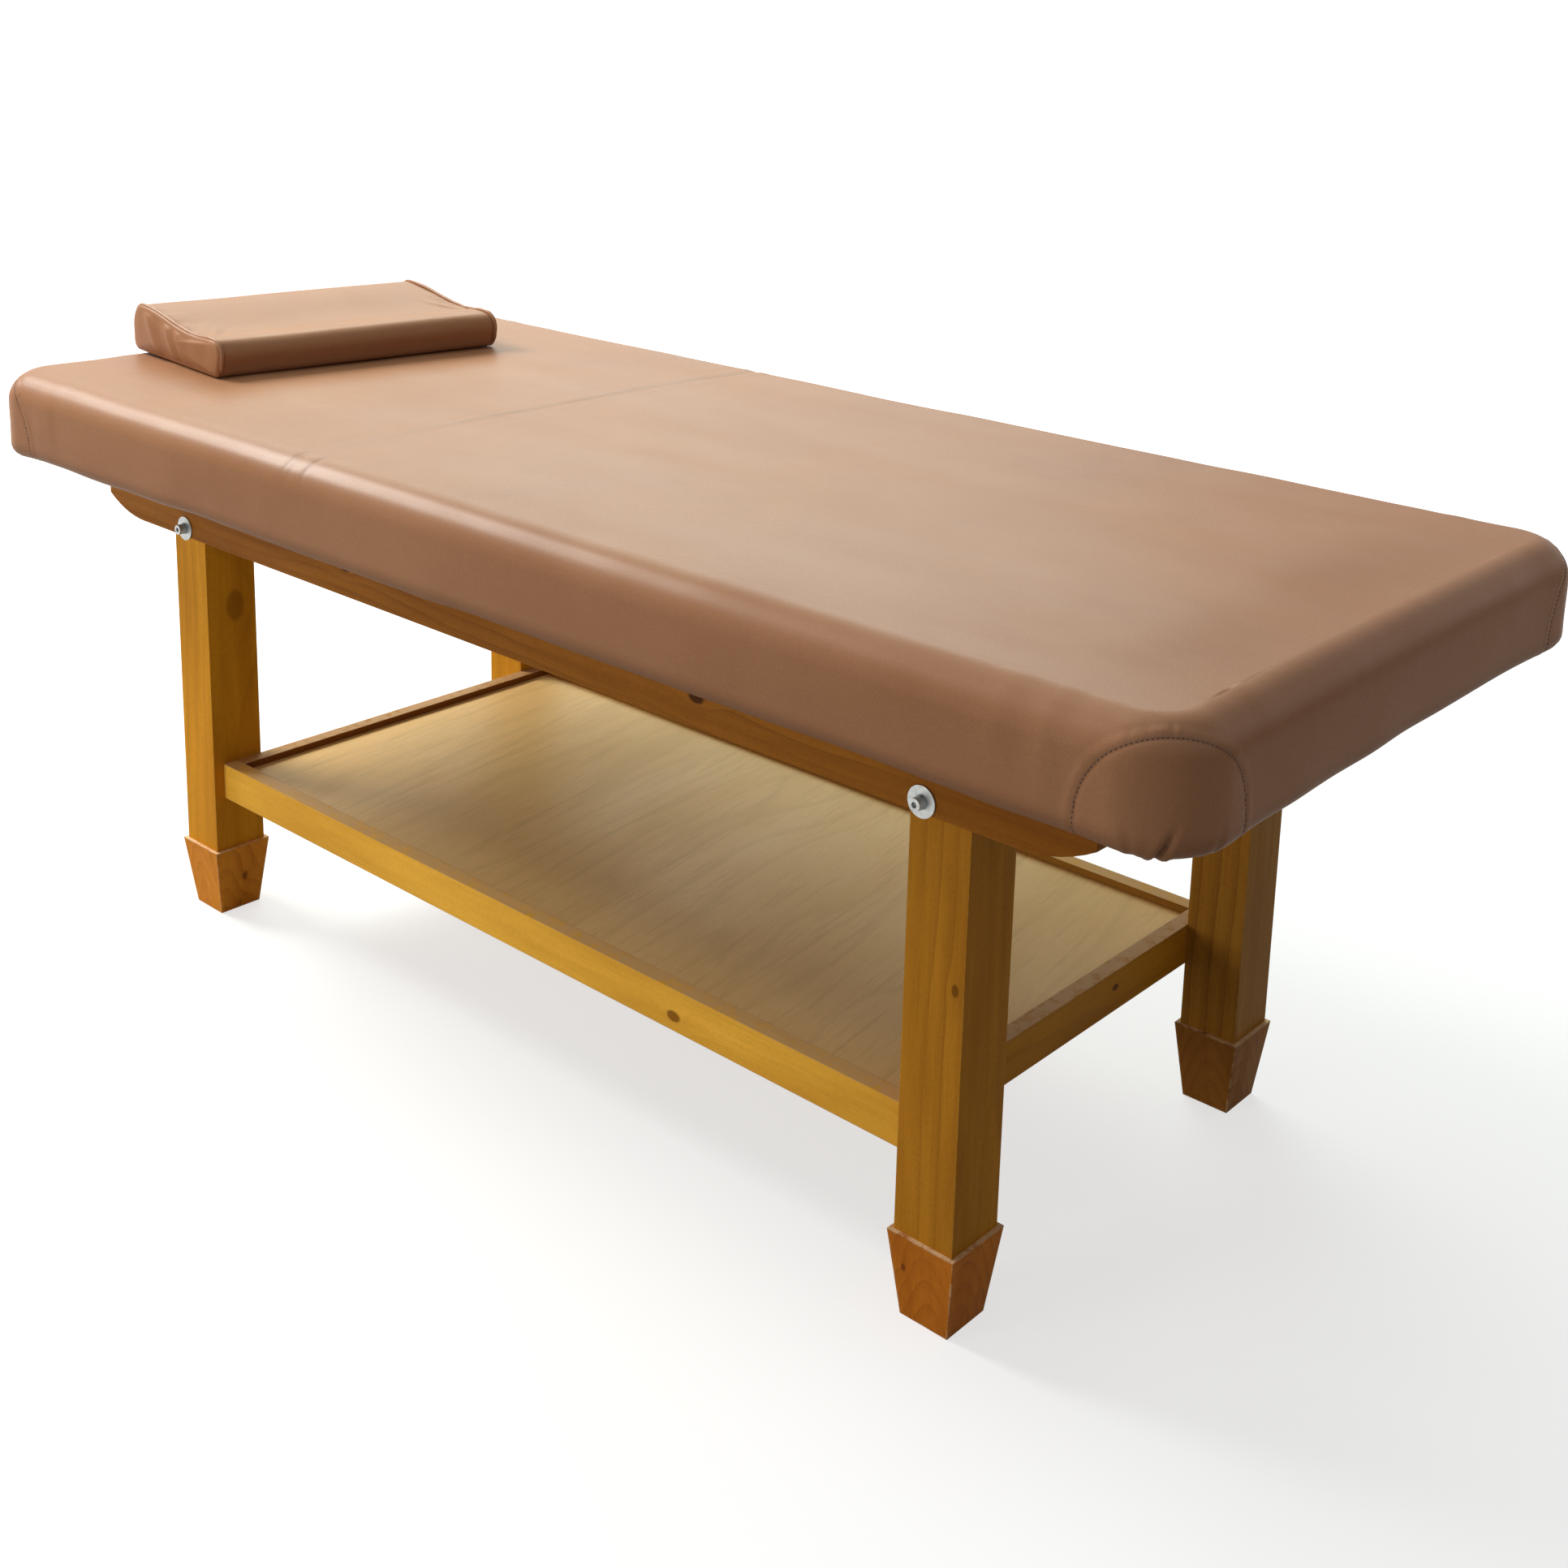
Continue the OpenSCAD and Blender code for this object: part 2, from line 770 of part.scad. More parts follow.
module hinge_leaves_fixed() {
    face = hinge_x + hinge_r;
    half_w = (hinge_w - knuckle_gap) / 2;
    color(zinc)
        for (y = hinge_places)
            translate([0, y, 0])
                difference() {
                    union() {
                        knuckle_row(0, [face - leaf_t, hinge_z - hinge_r - cut], [face, hinge_z]);
                        block([face - leaf_t, -half_w, hinge_z - leaf_reach],
                              [face, half_w, hinge_z - hinge_r - swing_gap]);
                    }
                    rod_y([hinge_x, -hinge_w, hinge_z], hinge_pin_r + run_gap, 2 * hinge_w);
                    for (side = [-1, 1])
                        rod_x([face - leaf_t - cut, side * hinge_w / 4, hinge_z - hinge_screw_at],
                              screw_r + hole_gap, leaf_t + 2 * cut);
                }
}

module hinge_leaves_moving() {
    half_w = (hinge_w - knuckle_gap) / 2;
    color(zinc)
        for (y = hinge_places)
            translate([0, y, 0])
                difference() {
                    union() {
                        knuckle_row(1, [hinge_x - hinge_r - cut, deck_z - leaf_t], [hinge_x, deck_z]);
                        block([hinge_x - leaf_reach, -half_w, deck_z - leaf_t],
                              [hinge_x - hinge_r - swing_gap, half_w, deck_z]);
                    }
                    rod_y([hinge_x, -hinge_w, hinge_z], hinge_pin_r + run_gap, 2 * hinge_w);
                    for (side = [-1, 1])
                        translate([hinge_x - hinge_screw_at, side * hinge_w / 4, deck_z - leaf_t - cut])
                            cylinder(r = screw_r + hole_gap, h = leaf_t + 2 * cut);
                }
}

module hinge_pins() {
    color(steel)
        for (y = hinge_places)
            rod_y([hinge_x, y - hinge_w / 2, hinge_z], hinge_pin_r, hinge_w);
}

module hinge_screw_row(room = 0) {
    hinge_screw_row_fixed(room);
    hinge_screw_row_moving(room);
}

module hinge_screw_row_fixed(room = 0) {
    for (y = hinge_places, side = [-1, 1])
        translate([hinge_x + hinge_r - leaf_t, y + side * hinge_w / 4, hinge_z - hinge_screw_at])
            rotate([0, 90, 0])
                pan_screw(hinge_screw_l, screw_r, room);
}

module hinge_screw_row_moving(room = 0) {
    for (y = hinge_places, side = [-1, 1])
        translate([hinge_x - hinge_screw_at, y + side * hinge_w / 4, deck_z - leaf_t])
            pan_screw(hinge_screw_l, screw_r, room);
}

module hinge_screws_fixed() {
    color(zinc)
        hinge_screw_row_fixed();
}

module hinge_screws_moving() {
    color(zinc)
        hinge_screw_row_moving();
}

// Backrest battens and the prop that they carry

module batten(side) {
    color(dark_pine)
        on_side(side)
            difference() {
                block([prop_pivot[0] - batten_back, batten_y - batten_t, deck_z - batten_h],
                      [hinge_x - batten_front - leaf_reach, batten_y, deck_z]);
                rod_y([prop_pivot[0], batten_y - batten_t - cut, prop_pivot[1]], rivet_r + hole_gap,
                      batten_t + 2 * cut);
                batten_screw_row(hole_gap);
            }
}

module batten_screw_row(room = 0) {
    for (x = [prop_pivot[0] - batten_back / 2, (prop_pivot[0] + hinge_x) / 2], side = [-1, 1])
        translate([x, side * (batten_y - batten_t / 2), board_top_z])
            screw(screw_l, screw_r, room);
}

module batten_screws() {
    color(zinc)
        batten_screw_row();
}

// A rivet with a round head on each side, which turns in the eye of the flat bar
module prop_rivets() {
    inner = batten_y - batten_t;
    outer = bar_y + prop_bar_t + swing_gap;
    color(steel)
        for (side = [-1, 1])
            on_side(side)
                translate([prop_pivot[0], 0, prop_pivot[1]]) {
                    rod_y([0, inner - cut, 0], rivet_r, outer - inner + 2 * cut);
                    rod_y([0, inner, 0], rivet_head_r, -rivet_head_t);
                    rod_y([0, outer, 0], rivet_head_r, rivet_head_t);
                }
}

module prop_bar(side) {
    rod_x_place = prop_pivot[0] - prop_arm_l;
    color(steel)
        on_side(side)
            translate([0, bar_y + prop_bar_t, 0])
                rotate([90, 0, 0])
                    linear_extrude(height = prop_bar_t)
                        difference() {
                            union() {
                                for (x = [prop_pivot[0], rod_x_place])
                                    translate([x, prop_pivot[1]])
                                        circle(r = prop_bar_w / 2);
                                translate([rod_x_place, prop_pivot[1] - prop_bar_w / 2])
                                    square([prop_arm_l, prop_bar_w]);
                            }
                            translate(prop_pivot)
                                circle(r = rivet_r + run_gap);
                            translate([rod_x_place, prop_pivot[1]])
                                circle(r = prop_rod_r + hole_gap);
                        }
}

module prop_rod() {
    color(steel)
        rod_y([prop_pivot[0] - prop_arm_l, -rod_l / 2, prop_pivot[1]], prop_rod_r, rod_l);
}

// Where the middle of the rod is when the backrest has lifted by an angle. The prop is as long
// as its pivot is far from the hinge line, so the rod travels almost level.
function rod_place(lift) = [
    hinge_x - 2 * prop_arm_l * cos(lift) - prop_drop * sin(lift),
    hinge_z - prop_drop * cos(lift)
];

// The tips of the teeth follow the rod's path a little below it
function tip_place(lift) = rod_place(lift) - [0, prop_rod_r + rod_gap];

module rack(side) {
    tooth_line = [for (lift = [0:lift_step:max_lift]) tip_place(lift)];
    color(pine)
        on_side(side)
            difference() {
                translate([0, rack_y + rack_t, 0])
                    rotate([90, 0, 0])
                        linear_extrude(height = rack_t)
                            difference() {
                                polygon(concat(
                                    [[rack_head_x, rack_z], [rack_head_x, rack_top_z - rack_head_drop]],
                                    tooth_line,
                                    [[rack_foot_x, tip_place(max_lift)[1]], [rack_foot_x, rack_z]]
                                ));
                                for (lift = stops)
                                    notch(rod_place(lift));
                            }
                rack_dowels(hole_gap, end_gap);
            }
}

// A notch with an upright face towards the hinge line and a ramp towards the head end
module notch(place) {
    r = prop_rod_r + rod_gap;
    translate([place[0], place[1] - notch_depth]) {
        circle(r = r);
        translate([-r, 0])
            square([2 * r, 2 * notch_depth]);
        polygon([[-r, 0], [-r - notch_depth, 2 * notch_depth], [-r, 2 * notch_depth]]);
    }
}

// Padded top

// Points along an arc, and the outline of the pad seen from above, drawn in by a distance
function arc_points(centre, r, start, sweep, steps) =
    [for (i = [0:steps]) centre + r * [cos(start + sweep * i / steps), sin(start + sweep * i / steps)]];

function between(a, b, steps) = [for (i = [1:steps - 1]) a + (b - a) * i / steps];

function rounded_outline(half_l, half_w, r) =
    let (cx = half_l - r, cy = half_w - r)
        concat(
            arc_points([cx, cy], r, 0, 90, corner_steps),
            between([cx, half_w], [-cx, half_w], side_steps),
            arc_points([-cx, cy], r, 90, 90, corner_steps),
            between([-half_l, cy], [-half_l, -cy], end_steps),
            arc_points([-cx, -cy], r, 180, 90, corner_steps),
            between([-cx, -half_w], [cx, -half_w], side_steps),
            arc_points([cx, -cy], r, 270, 90, corner_steps),
            between([half_l, -cy], [half_l, cy], end_steps)
        );

// How much of the pull a point feels: all of it at the middle of a side, none at its corners
function pull_share(along, half_side) = cos(90 * min(1, abs(along) / half_side));

function pad_outline(inset) =
    let (half_l = top_l / 2 - inset, half_w = top_w / 2 - inset, r = max(pad_corner_r - inset, 10))
        [for (p = rounded_outline(half_l, half_w, r))
            [p[0] - end_pull * pow(p[0] / half_l, 3) * pull_share(p[1], half_w - r),
             p[1] - side_pull * pow(p[1] / half_w, 3) * pull_share(p[0], half_l - r)]];

// Each row is the inset and the height of one ring, from the hem up to the crown
function pad_rings(inset) =
    let (low = deck_z - cover_t + inset, high = bed_h - inset, crown_in = (top_w / 2 - pad_top_r) / 2)
        concat(
            [for (i = [0:hem_steps])
                let (a = 90 * i / hem_steps, r = pad_bottom_r - inset)
                    [pad_bottom_r - r * sin(a), low + r * (1 - cos(a))]],
            [for (i = [0:edge_steps])
                let (a = 90 * i / edge_steps, r = pad_top_r - inset)
                    [pad_top_r - r * cos(a), high - pad_crown - r * (1 - sin(a))]],
            [for (i = [1:crown_steps])
                let (share = i / crown_steps)
                    [pad_top_r + crown_in * share, high - pad_crown * pow(1 - share, 2)]]
        );

// A closed solid through rings that all have the same number of points
module ring_solid(rings) {
    count = len(rings[0]);
    last = len(rings) - 1;
    points = [for (ring = rings) each ring];
    walls = [for (k = [0:last - 1], i = [0:count - 1])
        let (j = (i + 1) % count, a = k * count, b = (k + 1) * count)
            each [[a + j, a + i, b + i], [b + j, a + j, b + i]]];
    polyhedron(
        points = points,
        faces = concat(
            walls,
            [[for (i = [0:count - 1]) i]],
            [[for (i = [count - 1:-1:0]) last * count + i]]
        )
    );
}

module pad_solid(inset) {
    ring_solid([for (row = pad_rings(inset)) [for (p = pad_outline(row[0])) [p[0], p[1], row[1]]]]);
}

module pad_cover() {
    difference() {
        pad_solid(0);
        pad_solid(cover_t);
        // The open middle of the underside, inside the hem
        translate([0, 0, deck_z - cover_t - cut])
            linear_extrude(height = cover_t + cut + soft_gap)
                polygon(pad_outline(hem_w));
    }
}

// The foam wraps the edges of the boards
module pad_foam() {
    difference() {
        pad_solid(cover_t + soft_gap);
        board(board_inset - soft_gap, deck_z - pad_h, board_top_z + soft_gap);
    }
}

module seat_foam() {
    color(foam)
        intersection() {
            pad_foam();
            across_bed(2 * top_w)
                seat_zone(swing_gap);
        }
}

module backrest_foam() {
    color(foam)
        intersection() {
            pad_foam();
            across_bed(2 * top_w)
                backrest_zone(swing_gap);
        }
}

module fold_foam() {
    color(foam)
        intersection() {
            pad_foam();
            across_bed(2 * top_w)
                fold_zone();
        }
}

module seat_cover() {
    color(leatherette)
        intersection() {
            pad_cover();
            across_bed(2 * top_w)
                seat_zone(swing_gap);
        }
}

module backrest_cover() {
    color(leatherette)
        intersection() {
            pad_cover();
            across_bed(2 * top_w)
                backrest_zone(swing_gap);
        }
}

module fold_cover() {
    color(leatherette)
        intersection() {
            pad_cover();
            across_bed(2 * top_w)
                fold_zone();
        }
}

// Pillow, drawn around the middle of its underside, with the high ridge towards -X

// The height between two places along a smooth rise or fall
function wave(x, x0, z0, x1, z1) = z0 + (z1 - z0) * (1 - cos(180 * (x - x0) / (x1 - x0))) / 2;

// The profile starts at the lower front corner and runs up, over the top and down the back
function pillow_profile() =
    concat(
        arc_points([pillow_w / 2 - pillow_base_r, pillow_base_r], pillow_base_r, -90, 90, 3),
        [for (i = [0:3])
            let (a = 30 * i)
                [front_at + (pillow_w / 2 - front_at) * cos(a), front_h / 2 + front_h / 2 * sin(a)]],
        [for (i = [1:3])
            let (x = front_at + (dip_at - front_at) * i / 3)
                [x, wave(x, front_at, front_h, dip_at, dip_h)]],
        [for (i = [1:6])
            let (x = dip_at + (ridge_at - dip_at) * i / 6)
                [x, wave(x, dip_at, dip_h, ridge_at, ridge_h)]],
        [for (i = [1:5])
            let (a = 90 + 18 * i)
                [ridge_at + (pillow_w / 2 + ridge_at) * cos(a), ridge_h / 2 + ridge_h / 2 * sin(a)]],
        arc_points([pillow_base_r - pillow_w / 2, pillow_base_r], pillow_base_r, 180, 90, 3)
    );

// The profile drawn in by a distance towards the middle of the pillow
function drawn_profile(inset) =
    let (mid = [0, front_h / 2])
        [for (p = pillow_profile())
            let (away = p - mid)
                mid + [away[0] * (1 - 2 * inset / pillow_w), away[1] * (1 - 2 * inset / front_h)]];

// Each row is the place along the pillow's length and how far the profile is drawn in there
function pillow_rows(inset) =
    let (half = pillow_l / 2 - inset)
        [[half, 3], [half - 3, 0.8], [half - 14, 0], [half * 0.6, 0.6], [half * 0.2, 0.3],
         [-half * 0.2, 0.3], [-half * 0.6, 0.6], [14 - half, 0], [3 - half, 0.8], [-half, 3]];

module pillow_solid(inset) {
    ring_solid([for (row = pillow_rows(inset))
        [for (p = drawn_profile(row[1] + inset)) [p[0], row[0], p[1]]]]);
}

module at_pillow() {
    translate([pillow_x, 0, pillow_z])
        rotate([0, 0, pillow_turn])
            children();
}

module pillow_foam() {
    color(foam)
        at_pillow()
            pillow_solid(cover_t + soft_gap);
}

module pillow_cover() {
    color(leatherette)
        at_pillow()
            difference() {
                pillow_solid(0);
                pillow_solid(cover_t);
            }
}

// The piping follows the seam from the front foot of the end panel over the top to the back
module piping_tube(y) {
    sides = 6;
    line = pillow_profile();
    last = len(line) - 1;
    rings = [for (i = [0:last])
        let (along = line[min(i + 1, last)] - line[max(i - 1, 0)], out = [along[1], -along[0]] / norm(along),
            p = line[i] + out * (piping_r + soft_gap))
            if (p[1] > piping_r + cut)
                [for (k = [0:sides - 1])
                    let (a = 360 * k / sides, across = piping_r * cos(a), side = piping_r * sin(a))
                        [p[0] + out[0] * across, y + side, p[1] + out[1] * across]]];
    ring_solid(rings);
}

module pillow_piping() {
    color(leatherette)
        at_pillow()
            for (end = [-1, 1])
                piping_tube(end * (pillow_l / 2 - piping_in));
}

leg(-1, -1);  // leg_head_right
leg(-1, 1);  // leg_head_left
leg(1, -1);  // leg_foot_right
leg(1, 1);  // leg_foot_left
boot(-1, -1);  // boot_head_right
boot(-1, 1);  // boot_head_left
boot(1, -1);  // boot_foot_right
boot(1, 1);  // boot_foot_left
boot_screws();
side_rail(-1);  // side_rail_right
side_rail(1);  // side_rail_left
leg_rail(-1);  // leg_rail_head
leg_rail(1);  // leg_rail_foot
end_rail(-1);  // end_rail_head
end_rail(1);  // end_rail_foot
hinge_rail();
seat_bearer();
frame_dowels();
frame_bolts();
wide_washers();
spring_washers();
barrel_nuts();
shelf_side_rail(-1);  // shelf_rail_right
shelf_side_rail(1);  // shelf_rail_left
shelf_end_rail(-1);  // shelf_rail_head
shelf_end_rail(1);  // shelf_rail_foot
shelf_panel();
shelf_cleats();
shelf_bearer();
shelf_screws();
seat_board();
backrest_board();
seat_board_screws();
hinge_leaves_fixed();
hinge_leaves_moving();
hinge_pins();
hinge_screws_fixed();
hinge_screws_moving();
batten(-1);  // batten_right
batten(1);  // batten_left
batten_screws();
prop_bar(-1);  // prop_bar_right
prop_bar(1);  // prop_bar_left
prop_rod();
prop_rivets();
rack(-1);  // rack_right
rack(1);  // rack_left
seat_foam();
backrest_foam();
fold_foam();
seat_cover();
backrest_cover();
fold_cover();
pillow_foam();
pillow_cover();
pillow_piping();
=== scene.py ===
import math
import bmesh
import bpy
import numpy as np
from mathutils import Matrix, Vector


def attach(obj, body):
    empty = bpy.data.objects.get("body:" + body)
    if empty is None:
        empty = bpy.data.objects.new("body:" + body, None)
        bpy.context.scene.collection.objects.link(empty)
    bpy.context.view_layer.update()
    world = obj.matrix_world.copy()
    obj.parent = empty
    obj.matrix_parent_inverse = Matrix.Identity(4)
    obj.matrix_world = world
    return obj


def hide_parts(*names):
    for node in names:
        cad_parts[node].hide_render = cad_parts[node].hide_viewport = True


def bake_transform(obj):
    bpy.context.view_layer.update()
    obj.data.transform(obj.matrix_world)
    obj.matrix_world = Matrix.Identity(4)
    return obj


# A massage bed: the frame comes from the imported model, and the upholstery is built here.
# Metres, +X towards the foot end, +Z up. The long side that the photograph shows is -Y.

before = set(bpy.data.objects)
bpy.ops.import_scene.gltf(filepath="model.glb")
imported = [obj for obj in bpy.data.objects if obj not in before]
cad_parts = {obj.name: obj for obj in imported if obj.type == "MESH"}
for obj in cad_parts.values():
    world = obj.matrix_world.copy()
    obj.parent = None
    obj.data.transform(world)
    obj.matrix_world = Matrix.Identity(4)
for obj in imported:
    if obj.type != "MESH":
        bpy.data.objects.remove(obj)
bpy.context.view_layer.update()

# The pad's shape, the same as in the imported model

HALF_L = 0.950
HALF_W = 0.410
CORNER_R = 0.072
TOP_R = 0.038
BOTTOM_R = 0.016
HEM_Z = 0.6185
HEM_T = 0.0013
HEM_INSET = 0.050
EDGE_Z = 0.732
CROWN = 0.0038
SIDE_PULL = 0.004
END_PULL = 0.003
SIDE_BULGE = 0.0018
BOARD_INSET = 0.0197
BOARD_TOP = 0.6353
CREASE_X = -0.249

# The sewn corner pieces: a half ellipse around each corner, in metres along the side and up it

ARCH_MID = -0.004
ARCH_HALF = 0.084
ARCH_RISE = 0.088

# Large numbers that turn a place in a lattice into a random one

SCATTER = (374761393, 668265263, 1103515245, 1274126177)
WORD = 0xFFFFFFFF
HALF_WORD = 0xFFFF


def lattice(i, j, k, seed):
    """A repeatable random number from -1 to 1 for each point of a lattice."""
    h = (i * SCATTER[0] + j * SCATTER[1] + k * SCATTER[2] + seed * SCATTER[3]) & WORD
    h = ((h ^ (h >> 13)) * SCATTER[3]) & WORD
    return ((h ^ (h >> 16)) & HALF_WORD) / (HALF_WORD / 2) - 1


def smooth_noise(x, y, z, seed=0):
    """Smooth noise from -1 to 1 at arrays of places."""
    x, y, z = np.broadcast_arrays(np.asarray(x, float), np.asarray(y, float), np.asarray(z, float))
    cell = [np.floor(a).astype(np.int64) for a in (x, y, z)]
    part = [a - c for a, c in zip((x, y, z), cell)]
    part = [f * f * (3 - 2 * f) for f in part]
    total = np.zeros(x.shape)
    for step in np.ndindex(2, 2, 2):
        weight = math.prod(f if d else 1 - f for f, d in zip(part, step))
        total += weight * lattice(*(c + d for c, d in zip(cell, step)), seed)
    return total


def bell(d, width):
    """1 where d is 0, falling smoothly to nothing past the width."""
    return np.exp(-((d / width) ** 2))


def ease(a, b, x):
    """0 up to a, 1 from b on, and smooth between them."""
    t = np.clip((x - a) / (b - a), 0, 1)
    return t * t * (3 - 2 * t)


def mesh_piece(name, verts, faces, smooth=True):
    """A new object with the points and faces given."""
    mesh = bpy.data.meshes.new(name)
    mesh.from_pydata([tuple(v) for v in verts], [], faces)
    mesh.validate()
    mesh.update()
    if smooth:
        mesh.polygons.foreach_set("use_smooth", [True] * len(mesh.polygons))
    obj = bpy.data.objects.new(name, mesh)
    bpy.context.scene.collection.objects.link(obj)
    return obj


def outward(obj):
    """Turns every face of a closed piece outward."""
    work = bmesh.new()
    work.from_mesh(obj.data)
    bmesh.ops.recalc_face_normals(work, faces=work.faces)
    work.to_mesh(obj.data)
    work.free()


def paint(obj, name, values):
    """Keeps a number for each point, which the leather material reads."""
    attribute = obj.data.attributes.new(name, "FLOAT", "POINT")
    attribute.data.foreach_set("value", np.asarray(values, np.float32))


def band(a, b, count):
    """The faces between two closed loops of points, whose numbers start at a and b."""
    return [(a + i, a + (i + 1) % count, b + (i + 1) % count, b + i) for i in range(count)]


def tube(rings, sides):
    """The faces of a tube through rings of points, with both ends closed."""
    faces = []
    for i in range(rings - 1):
        faces += band(i * sides, (i + 1) * sides, sides)
    faces.append(tuple(range(sides))[::-1])
    faces.append(tuple((rings - 1) * sides + k for k in range(sides)))
    return faces


def shade(colour, by):
    """A colour made darker or paler by one number, or by one each for red, green and blue."""
    by = by if isinstance(by, tuple) else (by,) * 3
    return tuple(min(1, c * f) for c, f in zip(colour, by))


class Nodes:
    """Adds nodes to one tree. Inputs are sockets, plain numbers or tuples."""

    def __init__(self, tree):
        self.tree = tree

    def new(self, kind, *inputs, **settings):
        """A new node with its settings, and with its first inputs fed in their order."""
        node = self.tree.nodes.new("ShaderNode" + kind)
        for key, value in settings.items():
            setattr(node, key, value)
        for socket, value in zip(node.inputs, inputs):
            self.feed(socket, value)
        return node

    def named(self, node, **inputs):
        """Feeds a node's inputs by their names, where _ stands for a space."""
        for name, value in inputs.items():
            self.feed(node.inputs[name.replace("_", " ")], value)

    def feed(self, socket, value):
        if isinstance(value, bpy.types.NodeSocket):
            self.tree.links.new(value, socket)
        elif value is not None:
            socket.default_value = (*value, 1) if socket.type == "RGBA" else value

    def math(self, operation, *values, clamp=False):
        return self.new("Math", *values, operation=operation, use_clamp=clamp).outputs[0]

    def times(self, a, b, clamp=False):
        return self.math("MULTIPLY", a, b, clamp=clamp)

    def plus(self, a, b):
        return self.math("ADD", a, b)

    def vector(self, operation, *values):
        node = self.new("VectorMath", *values, operation=operation)
        return node.outputs["Value" if operation in ("LENGTH", "DOT_PRODUCT") else "Vector"]

    def split(self, value):
        """The three parts of a vector."""
        return self.new("SeparateXYZ", value).outputs

    def spread(self, value, low, high, to_low=0.0, to_high=1.0):
        """Moves the range from low to high to another range, and holds its ends beyond them."""
        return self.new("MapRange", value, low, high, to_low, to_high).outputs[0]


class Shader(Nodes):
    """Builds one procedural material."""

    def __init__(self, name):
        self.material = bpy.data.materials.new(name)
        self.material.use_nodes = True
        super().__init__(self.material.node_tree)
        self.bsdf = self.tree.nodes["Principled BSDF"]
        self.place = self.new("TexCoord").outputs["Object"]

    def stretch(self, scale, offset=(0, 0, 0)):
        """The place in the object, scaled along each axis."""
        return self.vector("ADD", self.vector("MULTIPLY", self.place, scale), offset)

    def noise(self, where, scale=1.0, detail=2.0, rough=0.5, distortion=0.0):
        node = self.new("TexNoise", where)
        self.named(node, Scale=scale, Detail=detail, Roughness=rough, Distortion=distortion)
        return node.outputs["Fac"]

    def ramp(self, fac, stops):
        """A smooth curve through (place, brightness) stops."""
        node = self.new("ValToRGB", fac)
        curve = node.color_ramp
        curve.interpolation = "EASE"
        while len(curve.elements) < len(stops):
            curve.elements.new(0.5)
        for element, (at, grey) in zip(curve.elements, stops):
            element.position = at
            element.color = (grey, grey, grey, 1)
        return node.outputs[0]

    def mix(self, fac, a, b):
        """The colour a where fac is 0, and b where it is 1."""
        node = self.new("Mix", fac, data_type="RGBA")
        self.feed(node.inputs[6], a)
        self.feed(node.inputs[7], b)
        return node.outputs[2]

    def bump(self, height, strength, distance, normal=None):
        node = self.new("Bump")
        self.named(node, Strength=strength, Distance=distance, Height=height, Normal=normal)
        return node.outputs[0]

    def edges(self, radius, width):
        """The normal with rounded edges, and a value from 0 on flat faces to 1 on edges."""
        flat_cosine, edge_cosine = 0.995, 0.90
        rounded, wide = (self.new("Bevel", r, samples=4).outputs[0] for r in (radius, width))
        flat = self.new("NewGeometry").outputs["Normal"]
        return rounded, self.spread(self.vector("DOT_PRODUCT", wide, flat), flat_cosine, edge_cosine)

    def attribute(self, name):
        return self.new("Attribute", attribute_name=name).outputs["Fac"]

    def finish(self, colour, roughness, normal, metallic=0.0, specular=0.5):
        self.named(self.bsdf, Base_Color=colour, Roughness=roughness, Normal=normal,
                   Metallic=metallic, Specular_IOR_Level=specular)
        return self.material


def leather_material(name, base):
    """Leatherette with a pebbled grain, cloudy colour, painted shade stored on its points, and a soft
    polish where it is painted.
    """
    s = Shader(name)
    cloud = s.noise(s.place, scale=3.2, detail=4, rough=0.55)
    patch = s.noise(s.stretch((1.4, 2.2, 2.2), (3, 1, 7)), scale=11, detail=3, rough=0.6)
    fleck = s.noise(s.place, scale=420, detail=2, rough=0.6)
    lighter = shade(base, (1.08, 1.12, 1.16))
    darker = shade(base, (0.91, 0.87, 0.84))
    tone = s.mix(s.spread(cloud, 0.35, 0.65), darker, lighter)
    tone = s.mix(s.spread(patch, 0.36, 0.66, 0.0, 0.55), tone, base)
    tone = s.mix(s.spread(fleck, 0.35, 0.72, 0.0, 0.20), tone, shade(base, 0.6))
    # Painted shade in the seams, folds, crease and tucks and along the bottom edge, stored on each
    # point, darkens the colour
    seam = s.times(s.attribute("seam"), 0.75, clamp=True)
    tone = s.mix(seam, tone, shade(base, 0.22))
    pebble = s.new("TexVoronoi", s.place, feature="SMOOTH_F1", distance="EUCLIDEAN")
    s.named(pebble, Smoothness=0.6, Scale=620)
    small = s.noise(s.place, scale=1500, detail=2)
    fine_crease = s.stretch((1, 1, 1), (9, 4, 2))
    fine_crease = s.noise(fine_crease, scale=95, detail=5, rough=0.62, distortion=0.8)
    pebbles = s.times(pebble.outputs["Distance"], -0.5)
    height = s.plus(pebbles, s.times(small, 0.25))
    height = s.plus(height, s.times(fine_crease, 0.45))
    normal = s.bump(s.noise(s.place, scale=26, detail=2), 0.25, 0.0016)
    normal = s.bump(height, 0.32, 0.0007, normal)
    rough = s.spread(cloud, 0.3, 0.7, 0.43, 0.52)
    rough = s.plus(rough, s.spread(fleck, 0.3, 0.7, -0.03, 0.04))
    brushed = s.noise(s.stretch((2.2, 8.0, 8.0), (1, 5, 2)), scale=1.0, detail=4, rough=0.6)
    polish = s.spread(brushed, 0.3, 0.7, 0.12, 0.21)
    polish = s.times(s.attribute("polish"), polish)
    s.named(s.bsdf, Coat_Weight=s.plus(polish, 0.015), Coat_Roughness=0.33)
    return s.finish(tone, rough, normal, specular=0.035)


